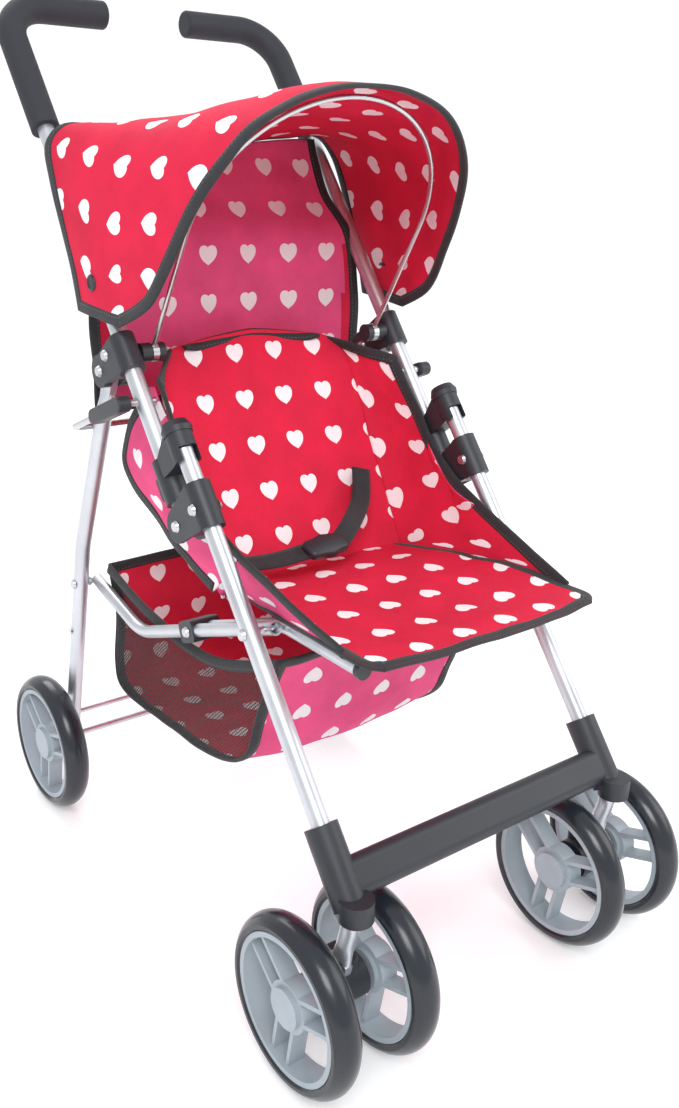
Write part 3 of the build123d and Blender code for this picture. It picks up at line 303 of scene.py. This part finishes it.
RED = cloth_material("cloth_red", (0.660, 0.004, 0.042), 0.0295, 0.0125)
RED_HOOD = cloth_material("cloth_red_hood", (0.660, 0.005, 0.048), 0.0310, 0.0130)
PINK = cloth_material("cloth_pink", (0.800, 0.080, 0.235), 0.0300, 0.0125)
BINDING = binding_material("binding")
WEBBING = binding_material("webbing", stitch=False)
NET = net_material("net")
TUBE = hard_material("tube", (0.60, 0.62, 0.655), 0.34, 0.85, 500.0, 0.02)
STEEL = hard_material("steel", (0.58, 0.585, 0.60), 0.30, 1.0, 600.0, 0.03)
PLASTIC = hard_material("plastic", (0.022, 0.025, 0.031), 0.42, 0.0, 900.0, 0.06)
GRIP = hard_material("grip", (0.020, 0.023, 0.030), 0.68, 0.0, 1300.0, 0.25)
RIM = hard_material("rim", (0.34, 0.39, 0.43), 0.40, 0.0, 700.0, 0.03)

NODE_MATERIALS = {"tube": TUBE, "steel": STEEL, "plastic": PLASTIC, "grip": GRIP, "rim": RIM}


def dress_nodes():
    """Gives every hard CAD node the material of its slot."""
    slots = {part["node"]: part["material_slot"] for part in frame["record"]["subparts"]}
    for name, obj in frame["nodes"].items():
        slot = slots[name]
        if slot == "tyre":
            low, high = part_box(name)
            middle = (Vector(low) + Vector(high)) / 2
            material = tyre_material(f"tyre_{name}", middle)
        elif slot in NODE_MATERIALS:
            material = NODE_MATERIALS[slot]
        else:
            continue
        for place in obj.material_slots:
            place.material = material
        if not obj.material_slots:
            obj.data.materials.append(material)


# ---- Shape helpers ----
def spline(points, count):
    """Points at even steps of a smooth curve through the given ones."""
    out = []
    last = len(points) - 1
    for i in range(count):
        place = i / (count - 1) * last
        k = min(int(place), last - 1)
        t = place - k
        a, b, c, d = (points[min(max(k + j, 0), last)] for j in (-1, 0, 1, 2))
        out.append(
            0.5 * ((2 * b) + (c - a) * t + (2 * a - 5 * b + 4 * c - d) * t * t
                   + (3 * b - a - 3 * c + d) * t ** 3)
        )
    return out


def smooth_grid(rows, across, along):
    """A fine grid of points through coarse rows."""
    wide = [spline(row, across) for row in rows]
    columns = [spline([row[i] for row in wide], along) for i in range(across)]
    return [[column[j] for column in columns] for j in range(along)]


def grid_normal(grid, j, i):
    """The direction square to a grid at one of its points."""
    rows, columns = len(grid) - 1, len(grid[0]) - 1
    across = grid[j][min(i + 1, columns)] - grid[j][max(i - 1, 0)]
    along = grid[min(j + 1, rows)][i] - grid[max(j - 1, 0)][i]
    return across.cross(along).normalized()


def wrinkle(grid, depth, size, seed):
    """Moves a grid's points in and out by smooth noise, so that the cloth looks handled."""
    shift = Vector((seed * 7.3, seed * 3.1, seed * 1.7))
    moved = []
    for j, row in enumerate(grid):
        moved.append([
            p + grid_normal(grid, j, i) * depth * noise.noise(p / size + shift) for i, p in enumerate(row)
        ])
    return moved


def lay_uv(grid):
    """Flat coordinates in metres for a grid: distance across, from the middle, and distance along."""
    columns = len(grid[0])
    middle = columns // 2
    along = [0.0]
    for j in range(1, len(grid)):
        along.append(along[-1] + (grid[j][middle] - grid[j - 1][middle]).length)
    flat = []
    for j, row in enumerate(grid):
        across = [0.0]
        for i in range(1, columns):
            across.append(across[-1] + (row[i] - row[i - 1]).length)
        flat.append([(value - across[middle], -along[j]) for value in across])
    return flat


def ring_faces(rings, steps):
    """The faces of a skin over rings of points, with a cap at each end."""
    faces = []
    for j in range(rings - 1):
        a, b = j * steps, (j + 1) * steps
        for k in range(steps):
            after = (k + 1) % steps
            faces.append((a + k, a + after, b + after, b + k))
    last = (rings - 1) * steps
    faces.append(tuple(range(steps - 1, -1, -1)))
    faces.append(tuple(last + k for k in range(steps)))
    return faces


def mesh_object(name, points, faces, uvs, materials, face_material=None):
    """A smooth mesh in the scene, with one UV for each point."""
    mesh = bpy.data.meshes.new(name)
    mesh.from_pydata([tuple(p) for p in points], [], faces)
    layer = mesh.uv_layers.new(name="UVMap")
    for loop in mesh.loops:
        layer.data[loop.index].uv = uvs[loop.vertex_index]
    for material in materials:
        mesh.materials.append(material)
    for i, polygon in enumerate(mesh.polygons):
        polygon.use_smooth = True
        if face_material:
            polygon.material_index = face_material[i]
    mesh.update()
    obj = bpy.data.objects.new(name, mesh)
    bpy.context.scene.collection.objects.link(obj)
    return obj


def cloth_object(name, grid, outer, inner, thickness=CLOTH_THICKNESS, flat=None):
    """A sheet of cloth: an outer and an inner face, closed at its edges."""
    rows, columns = len(grid), len(grid[0])
    flat = flat or lay_uv(grid)
    points, uvs = [], []
    for side in (0.5, -0.5):
        for j in range(rows):
            for i in range(columns):
                points.append(grid[j][i] + grid_normal(grid, j, i) * thickness * side)
                uvs.append(flat[j][i])
    faces, which = [], []
    half = rows * columns
    for j in range(rows - 1):
        for i in range(columns - 1):
            a = j * columns + i
            quad = (a, a + 1, a + 1 + columns, a + columns)
            faces.append(quad)
            which.append(0)
            faces.append(tuple(half + q for q in reversed(quad)))
            which.append(1)
    rim = list(range(columns))
    rim += [j * columns + columns - 1 for j in range(1, rows)]
    rim += [(rows - 1) * columns + i for i in range(columns - 2, -1, -1)]
    rim += [j * columns for j in range(rows - 2, 0, -1)]
    for k, a in enumerate(rim):
        b = rim[(k + 1) % len(rim)]
        faces.append((a, half + a, half + b, b))
        which.append(0)
    return mesh_object(name, points, faces, uvs, [outer, inner], which)


def binding(name, edge, inner):
    """A folded tape over a sheet's edge. The inner points say which way the sheet lies."""
    count, ring = len(edge), BINDING_RING
    points, uvs = [], []
    run = 0.0
    for i, p in enumerate(edge):
        forward = (edge[min(i + 1, count - 1)] - edge[max(i - 1, 0)]).normalized()
        inward = inner[i] - p
        inward = (inward - forward * inward.dot(forward)).normalized()
        normal = forward.cross(inward)
        if i:
            run += (p - edge[i - 1]).length
        for k in range(ring):
            turn = math.tau * k / ring
            across = math.cos(turn)
            bulge = math.sin(turn)
            flat = math.copysign(abs(across) ** 0.5, across) * BINDING_WIDTH / 2
            lift = math.copysign(abs(bulge) ** 0.7, bulge) * BINDING_THICKNESS / 2
            points.append(p + inward * (flat + BINDING_WIDTH / 2 - BINDING_PROUD) + normal * lift)
            uvs.append((run, flat + BINDING_WIDTH / 2))
    return mesh_object(name, points, ring_faces(count, ring), uvs, [BINDING])


def edge_of(grid, side):
    """The points of one edge of a grid, and those a little inside it."""
    if side == "first":
        return grid[0], grid[2]
    if side == "last":
        return grid[-1], grid[-3]
    if side == "left":
        return [row[0] for row in grid], [row[2] for row in grid]
    return [row[-1] for row in grid], [row[-3] for row in grid]


def tape_round(name, grid, sides):
    """Bindings on several edges of a grid, one piece for each."""
    return [binding(f"{name}_{side}", *edge_of(grid, side)) for side in sides]


def lathe(name, profile, centre, axis, material, steps=32):
    """A turned piece. The profile is (radius, distance along the axis)."""
    axis = axis.normalized()
    side = axis.orthogonal().normalized()
    other = axis.cross(side)
    points, uvs = [], []
    for radius, height in profile:
        for k in range(steps):
            turn = math.tau * k / steps
            points.append(centre + axis * height + (side * math.cos(turn) + other * math.sin(turn)) * radius)
            uvs.append((k / steps, height))
    return mesh_object(name, points, ring_faces(len(profile), steps), uvs, [material])


def mirror_row(half):
    """A row across the whole width from its half, given from the middle out."""
    right = [Vector((-p.x, p.y, p.z)) for p in reversed(half[1:])]
    return right + half


def at(start, up, back, x=0.0):
    """A point up the tubes' line and square behind it from a start point, in millimetres."""
    return Vector((x * MM, 0, 0)) + Vector((0, start.y, start.z)) + UP * up * MM + BACK * back * MM


def side(y, z, x=0.0):
    """A point given from the fold pivot: behind it and above it, in millimetres."""
    return Vector((x * MM, FOLD.y + y * MM, FOLD.z + z * MM))


def behind_fold(y):
    """A place along Y as side() takes it: millimetres behind the fold pivot."""
    return (y - FOLD.y) / MM


def above_fold(z):
    """A height as side() takes it: millimetres above the fold pivot."""
    return (z - FOLD.z) / MM


# ---- Hood ----
def make_hood():
    """One arched sheet from its front hem, over the bow and back to the handle tubes."""
    half_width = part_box("hood_canopy")[1][0] / MM
    top = above_fold(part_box("hood_canopy")[1][2])
    front = [(0, -31, -2), (26, -31, -4), (48, -29, -11), (67, -24, -23), (81, -15, -41),
             (90, -2, -63), (95, 14, -89), (99, 32, -113), (103, 61, -127)]
    over = [(0, -6, 0), (28, -6, -3), (53, -4, -10), (74, 2, -23), (88, 11, -42),
            (96, 22, -64), (100, 36, -88), (102, 52, -109), (104, 72, -126)]
    crown = [(0, 45, -10), (31, 45, -11), (59, 46, -15), (81, 49, -25), (95, 54, -41),
             (102, 59, -61), (104, 65, -84), (105, 73, -104), (104, 82, -125)]
    behind = [(0, 98, -21), (33, 98, -20), (63, 98, -20), (86, 96, -25), (99, 91, -38),
              (104, 86, -58), (106, 85, -80), (106, 87, -102), (105, 92, -124)]
    rear = [(0, 147, -29), (34, 148, -27), (66, 149, -24), (90, 146, -22), (103, 144, -33),
            (106, 134, -53), (106, 123, -79), (106, 113, -101), (105, 105, -123)]
    scale = half_width / HOOD_DRAWN_HALF
    rows = [
        mirror_row([side(y, top + z, x * scale) for x, y, z in line])
        for line in (front, over, crown, behind, rear)
    ]
    grid = wrinkle(smooth_grid(rows, 97, 61), 1.6 * MM, 30 * MM, 1)
    flat = [[(u, -p.y) for (u, _), p in zip(places, row)] for places, row in zip(lay_uv(grid), grid)]
    hood = cloth_object("hood", grid, RED_HOOD, RED_HOOD, flat=flat)
    tapes = tape_round("hood_binding", grid, ("first", "last", "left", "right"))
    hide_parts("hood_canopy")
    for piece in (hood, *tapes):
        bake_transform(piece)
    profile = [(4.6, -0.4), (4.8, 0.8), (4.2, 1.6), (3.3, 1.9), (2.9, 1.3), (1.2, 1.2)]
    profile = [(radius * MM, height * MM) for radius, height in profile]
    for sign, name, point in ((-1, "right", grid[44][5]), (1, "left", grid[44][-6])):
        snap = lathe(f"hood_snap_{name}", profile, point, Vector((sign, 0, 0)), PLASTIC)
        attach(snap, "handle_frame")


# ---- Back panel ----
def make_back_panel():
    """A sheet between the handle tubes, pink inside and red outside, down to the lock bar."""
    low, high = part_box("back_panel")
    half = high[0] / MM
    foot_y = behind_fold(low[1])
    top_y = behind_fold(high[1])
    hem = ((0, 195), (0.35, 197), (0.7, 200), (1, 201))
    rows = [mirror_row([side(top_y - 1, z, half * share) for share, z in hem])]
    for y, z, wide, sag in ((top_y - 6, 186, half, 1), (foot_y + 22, 165, half, 3),
                            (foot_y + 4, 140, half + 5, 6), (foot_y + 1, 105, half + 9, 7),
                            (foot_y, 70, half + 9, 5), (foot_y, 42, half + 8, 0)):
        rows.append(mirror_row([
            side(y + sag * math.cos(share * math.pi / 2), z, wide * share) for share in (0, 0.35, 0.7, 1)
        ]))
    grid = wrinkle(smooth_grid(rows, 61, 41), 2.2 * MM, 26 * MM, 2)
    panel = cloth_object("back_cloth", grid, RED_HOOD, PINK)
    for polygon in panel.data.polygons:
        if abs(polygon.center.x) > (half - 2) * MM:
            polygon.material_index = 0
    tapes = tape_round("back_binding", grid, ("last", "left", "right"))
    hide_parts("back_panel")
    for piece in (panel, *tapes):
        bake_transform(piece)


# ---- Seat ----
def make_seat():
    """The sling seat: a pan over the seat tubes, a back rest and a wing on each side."""
    low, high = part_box("seat_pan")
    deck = above_fold(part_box("seat_tube_plugs")[1][2]) + 1.6
    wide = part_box("seat_tube_left")[1][0] / MM + 0.5
    front = behind_fold(low[1])
    rear = behind_fold(high[1]) + 6
    rows = []
    for share, drop, half in ((0, 1, wide - 7), (0.06, 0, wide), (0.25, 0.5, wide), (0.5, 1.5, wide - 2),
                              (0.75, 6, wide - 8), (1, 12, wide - 14)):
        y = front + (rear - front) * share
        sag = 5.0 * math.sin(math.pi * min(share * 1.3, 1))
        bulge = -5.0 if share == 0 else 0.0
        rows.append(mirror_row([
            side(y + bulge * (1 - s * s), deck - drop - sag * (1 - s ** 3), half * s) for s in (0, 0.4, 0.75, 1)
        ]))
    grid = wrinkle(smooth_grid(rows, 61, 57), 1.6 * MM, 24 * MM, 3)
    pan = cloth_object("seat_pan_cloth", grid, RED, RED, 2.2 * MM)
    tapes = tape_round("seat_pan_binding", grid, ("first", "left", "right"))
    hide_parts("seat_pan")
    for piece in (pan, *tapes):
        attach(piece, "seat_frame")

    back_low, back_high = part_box("seat_back")
    half = back_high[0] / MM
    bottom = behind_fold(back_low[1]), above_fold(back_low[2])
    top = behind_fold(back_high[1]) - 4, above_fold(back_high[2])
    rows = []
    for share, narrow, dip in ((1, 20, 3), (0.95, 6, 1), (0.8, 0, 0), (0.5, 0, 0), (0.2, 0, 0), (0, 1, 0)):
        y = bottom[0] + (top[0] - bottom[0]) * share
        z = bottom[1] + (top[1] - bottom[1]) * share
        hollow = 6 * math.sin(math.pi * share)
        arch = 4.0 if share == 1 else 0
        rows.append(mirror_row([
            side(y - 3 + hollow * (1 - s * s), z - dip * s + arch * (1 - s * s), (half - narrow) * s)
            for s in (0, 0.4, 0.75, 1)
        ]))
    back_grid = wrinkle(smooth_grid(rows, 57, 57), 1.8 * MM, 28 * MM, 4)
    back = cloth_object("seat_back_cloth", back_grid, RED, RED, 2.6 * MM)
    tape = tape_round("seat_back_binding", back_grid, ("first",))
    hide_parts("seat_back")
    for piece in (back, *tape):
        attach(piece, "handle_frame")

    for sign, name in ((-1, "right"), (1, "left")):
        make_wing(name, sign, back_grid, grid)


def make_wing(name, sign, back_grid, pan_grid):
    """The side of the sling, from the seat's edges out to the frame tubes."""
    outer_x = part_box(f"side_wing_{name}")[1 if sign > 0 else 0][0] / MM
    column = -1 if sign > 0 else 0
    inner = [row[column] for row in back_grid][6:]
    outer = [at(FOLD, up, ahead, outer_x) for up, ahead in ((84, -5), (50, -6), (10, -8), (-28, -24))]
    edge = [row[column] for row in pan_grid]
    outer.append(edge[len(edge) * 3 // 10] + Vector((0, 0, 2 * MM)))
    inner = inner[:: max(len(inner) // 6, 1)] + [edge[-6], edge[len(edge) * 6 // 10]]
    inner_line = spline(inner, WING_ROWS)
    outer_line = spline(outer, WING_ROWS)
    grid = []
    for j in range(WING_ROWS):
        row = []
        for i in range(WING_COLUMNS):
            s = i / (WING_COLUMNS - 1)
            p = inner_line[j].lerp(outer_line[j], s)
            belly = 7 * MM * math.sin(math.pi * s) * math.sin(math.pi * j / (WING_ROWS - 1))
            row.append(p + Vector((sign * belly * 0.3, belly * 0.8, -belly * 0.5)))
        grid.append(row if sign > 0 else row[::-1])
    grid = wrinkle(grid, 1.6 * MM, 22 * MM, 5 + sign)
    wing = cloth_object(f"wing_{name}", grid, PINK, RED)
    tapes = tape_round(f"wing_{name}_binding", grid, ("right" if sign > 0 else "left", "first"))
    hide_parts(f"side_wing_{name}")
    for piece in (wing, *tapes):
        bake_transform(piece)
    make_flap(name, sign, (abs(outer_x) - 1) * sign)


def make_flap(name, sign, x):
    """The pink outer side, from the handle tube back to its free rear edge."""
    front = [at(FOLD, up, back, x) for up, back in ((84, 2), (55, 0), (20, -4), (-10, -8), (-30, -22))]
    rear = [side(y, z, x) for y, z in ((60, 64), (86, 36), (93, 8), (44, -20), (-8, -39))]
    grid = []
    for j, (a, b) in enumerate(zip(spline(front, WING_ROWS), spline(rear, WING_ROWS))):
        row = []
        for i in range(WING_COLUMNS):
            s = i / (WING_COLUMNS - 1)
            belly = 2 * MM * math.sin(math.pi * s) * math.sin(math.pi * j / (WING_ROWS - 1))
            row.append(a.lerp(b, s) + Vector((sign * belly, 0, 0)))
        grid.append(row[::-1] if sign > 0 else row)
    grid = wrinkle(grid, 1.4 * MM, 24 * MM, 11 + sign)
    flap = cloth_object(f"flap_{name}", grid, PINK, RED)
    tapes = tape_round(f"flap_{name}_binding", grid, ("left" if sign > 0 else "right",))
    for piece in (flap, *tapes):
        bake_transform(piece)


# ---- Basket ----
def make_basket():
    """A bag under the seat: a cloth strip front, bottom and rear, and netting at the sides."""
    low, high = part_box("basket")
    half = high[0] / MM
    rear = behind_fold(high[1])
    floor = above_fold(low[2])
    drawn = ((0, 92), (6, 60), (2, 22), (10, 4), (60, 2), (108, 4),
             (142, 10), (160, 24), (170, 48), (180, 76), (190, 94))
    profile = [(rear - ahead, floor + up) for ahead, up in drawn]
    rows = []
    for k, (y, z) in enumerate(profile):
        share = k / (len(profile) - 1)
        sag = 4 * math.sin(math.pi * share)
        out = 3 * math.cos(math.pi * share)
        rows.append(mirror_row([
            side(y + out * (1 - s * s), z - sag * (1 - s * s), (half - 6 * share) * s)
            for s in (0, 0.4, 0.75, 1)
        ]))
    grid = wrinkle(smooth_grid(rows, 49, BASKET_ROWS), 2.0 * MM, 26 * MM, 8)
    strip = cloth_object("basket_cloth", grid, PINK, RED)
    tapes = tape_round("basket_binding", grid, ("first", "last", "left", "right"))
    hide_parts("basket")
    pieces = [strip, *tapes]
    for name, column in (("right", 0), ("left", -1)):
        edge = [row[column] for row in grid]
        brim = spline([edge[0], side(rear - 57, floor + 78, edge[0].x / MM),
                       side(rear - 120, floor + 70, edge[-1].x / MM), edge[-1]], len(edge))
        net_grid = []
        for j, (a, b) in enumerate(zip(edge, brim)):
            bulge = 3 * MM * math.sin(math.pi * j / (BASKET_ROWS - 1))
            row = []
            for i in range(NET_COLUMNS):
                s = i / (NET_COLUMNS - 1)
                row.append(a.lerp(b, s) + Vector((math.copysign(bulge * math.sin(math.pi * s), a.x), 0, 0)))
            net_grid.append(row)
        net = cloth_object(f"basket_net_{name}", net_grid, NET, NET, 0.4 * MM)
        for polygon in net.data.polygons:
            for index in polygon.loop_indices:
                p = net.data.vertices[net.data.loops[index].vertex_index].co
                net.data.uv_layers[0].data[index].uv = (p.y, p.z)
        tape = binding(f"basket_net_{name}_binding", brim, [row[-3] for row in net_grid])
        pieces += [net, tape]
    for piece in pieces:
        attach(piece, "front_frame")
        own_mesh(piece)


# ---- Lap belt ----
def ribbon(name, path, normals, width, thickness, material):
    """A flat webbing strap along a smooth path, and its grid."""
    line = spline(path, STRAP_POINTS)
    faces_up = spline(normals, STRAP_POINTS)
    grid = []
    for i, p in enumerate(line):
        forward = (line[min(i + 1, STRAP_POINTS - 1)] - line[max(i - 1, 0)]).normalized()
        across = forward.cross(faces_up[i]).normalized()
        grid.append([p + across * width * s for s in (-0.5, -0.25, 0, 0.25, 0.5)])
    return cloth_object(name, grid, material, material, thickness), grid


def make_belt():
    """Two webbing straps across the seat and the buckle between them."""
    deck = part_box("lap_belt")[0]
    middle = (deck[1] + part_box("lap_belt")[1][1]) / 2
    z = deck[2] + 5 * MM
    buckle_at = Vector((-10 * MM, middle + 6 * MM, z + 9 * MM))
    plane = Vector((0.05, -0.45, 1)).normalized()
    near = [Vector((-62 * MM, middle + 22 * MM, z + 3 * MM)), Vector((-42 * MM, middle + 12 * MM, z + 5 * MM)),
            buckle_at + Vector((-10 * MM, 0, 0))]
    far = [buckle_at + Vector((10 * MM, 1 * MM, 0)), buckle_at + Vector((24 * MM, 8 * MM, 6 * MM)),
           Vector((40 * MM, middle + 36 * MM, z + 22 * MM)), Vector((50 * MM, middle + 49 * MM, z + 38 * MM))]
    pieces = []
    for name, path in (("belt_near", near), ("belt_far", far)):
        strap, grid = ribbon(name, path, [plane, plane], 12 * MM, 1.3 * MM, WEBBING)
        pieces.append(strap)
    rows = []
    for height, grow in ((-2.6, 0.86), (-1.4, 1.0), (2.2, 1.0), (3.4, 0.88)):
        ring = []
        for k in range(BUCKLE_STEPS):
            turn = math.tau * k / BUCKLE_STEPS
            x = math.copysign(abs(math.cos(turn)) ** 0.55, math.cos(turn)) * 15 * grow
            y = math.copysign(abs(math.sin(turn)) ** 0.55, math.sin(turn)) * 8.5 * grow
            y *= 1 - 0.18 * abs(math.sin(x / 15 * math.pi))
            ring.append((x, y, height))
        rows.append(ring)
    side_axis = Vector((1, 0.1, 0.02)).normalized()
    across = plane.cross(side_axis).normalized()
    points = [
        buckle_at + side_axis * x * MM + across * y * MM + plane * h * MM for ring in rows for x, y, h in ring
    ]
    faces = ring_faces(len(rows), BUCKLE_STEPS)
    buckle = mesh_object("buckle", points, faces, [(p.x, p.y) for p in points], [PLASTIC])
    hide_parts("lap_belt")
    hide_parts("belt_buckle")
    for piece in pieces:
        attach(piece, "seat_frame")
    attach(buckle, "seat_frame")


# ---- Stage ----
def make_stage():
    """A pale floor that curves up behind the stroller, a pale sky and three lamps."""
    floor_material, nodes, shader = new_material("floor")
    place = nodes.add("ShaderNodeTexCoord").outputs["Object"]
    pale = nodes.mix(nodes.noise(place, 3.0), (0.86, 0.86, 0.865), (0.88, 0.88, 0.88))
    nodes.link(pale, shader["Base Color"])
    shader["Roughness"].default_value = 0.6
    shader["Emission Color"].default_value = (1.0, 1.0, 1.0, 1)
    shader["Emission Strength"].default_value = 0.22
    mesh = bpy.data.meshes.new("floor")
    profile = [(FLOOR_FRONT, 0.0), (FLOOR_REAR, 0.0)]
    for step in range(1, 17):
        turn = math.pi / 2 * step / 16
        profile.append((FLOOR_REAR + FLOOR_BEND * math.sin(turn), FLOOR_BEND - FLOOR_BEND * math.cos(turn)))
    profile.append((FLOOR_REAR + FLOOR_BEND, FLOOR_TOP))
    ahead = Vector((math.sin(VIEW_YAW), math.cos(VIEW_YAW), 0))
    across = Vector((ahead.y, -ahead.x, 0))
    points = [ahead * far + across * wide + Vector((0, 0, z)) for far, z in profile for wide in (-9, 9)]
    faces = [(2 * k, 2 * k + 1, 2 * k + 3, 2 * k + 2) for k in range(len(profile) - 1)]
    mesh.from_pydata([tuple(p) for p in points], [], faces)
    for polygon in mesh.polygons:
        polygon.use_smooth = True
    mesh.materials.append(floor_material)
    floor = bpy.data.objects.new("floor", mesh)
    bpy.context.scene.collection.objects.link(floor)
    world = bpy.data.worlds.new("studio")
    bpy.context.scene.world = world
    world.use_nodes = True
    background = next(n for n in world.node_tree.nodes if n.type == "BACKGROUND")
    background.inputs["Color"].default_value = (0.97, 0.98, 1.0, 1)
    background.inputs["Strength"].default_value = 0.85
    for name, place, power, size in LAMPS:
        lamp = bpy.data.lights.new(name, "AREA")
        lamp.energy = power
        lamp.size = size
        obj = bpy.data.objects.new(name, lamp)
        obj.location = place
        obj.rotation_euler = (LAMPS_AIM - Vector(place)).to_track_quat("-Z", "Y").to_euler()
        bpy.context.scene.collection.objects.link(obj)


def make_camera():
    """Stands in front and to the right of the stroller, a little above its top."""
    yaw, pitch, roll = VIEW_YAW, VIEW_PITCH, VIEW_ROLL
    forward = Vector((math.cos(pitch) * math.sin(yaw), math.cos(pitch) * math.cos(yaw), -math.sin(pitch)))
    right = Vector((math.cos(yaw), -math.sin(yaw), 0))
    above = right.cross(forward)
    turned_right = right * math.cos(roll) + above * math.sin(roll)
    turned_up = above * math.cos(roll) - right * math.sin(roll)
    data = bpy.data.cameras.new("camera")
    data.sensor_fit = "VERTICAL"
    data.sensor_height = 36.0
    data.lens = CAMERA_LENS
    data.clip_start = 0.01
    camera = bpy.data.objects.new("camera", data)
    basis = Matrix((turned_right, turned_up, -forward)).transposed().to_4x4()
    camera.matrix_world = Matrix.Translation(CAMERA_PLACE) @ basis
    bpy.context.scene.collection.objects.link(camera)
    bpy.context.scene.camera = camera


bpy.context.scene.view_settings.view_transform = "Standard"
make_camera()
dress_nodes()
make_hood()
make_back_panel()
make_seat()
make_basket()
make_belt()
make_stage()
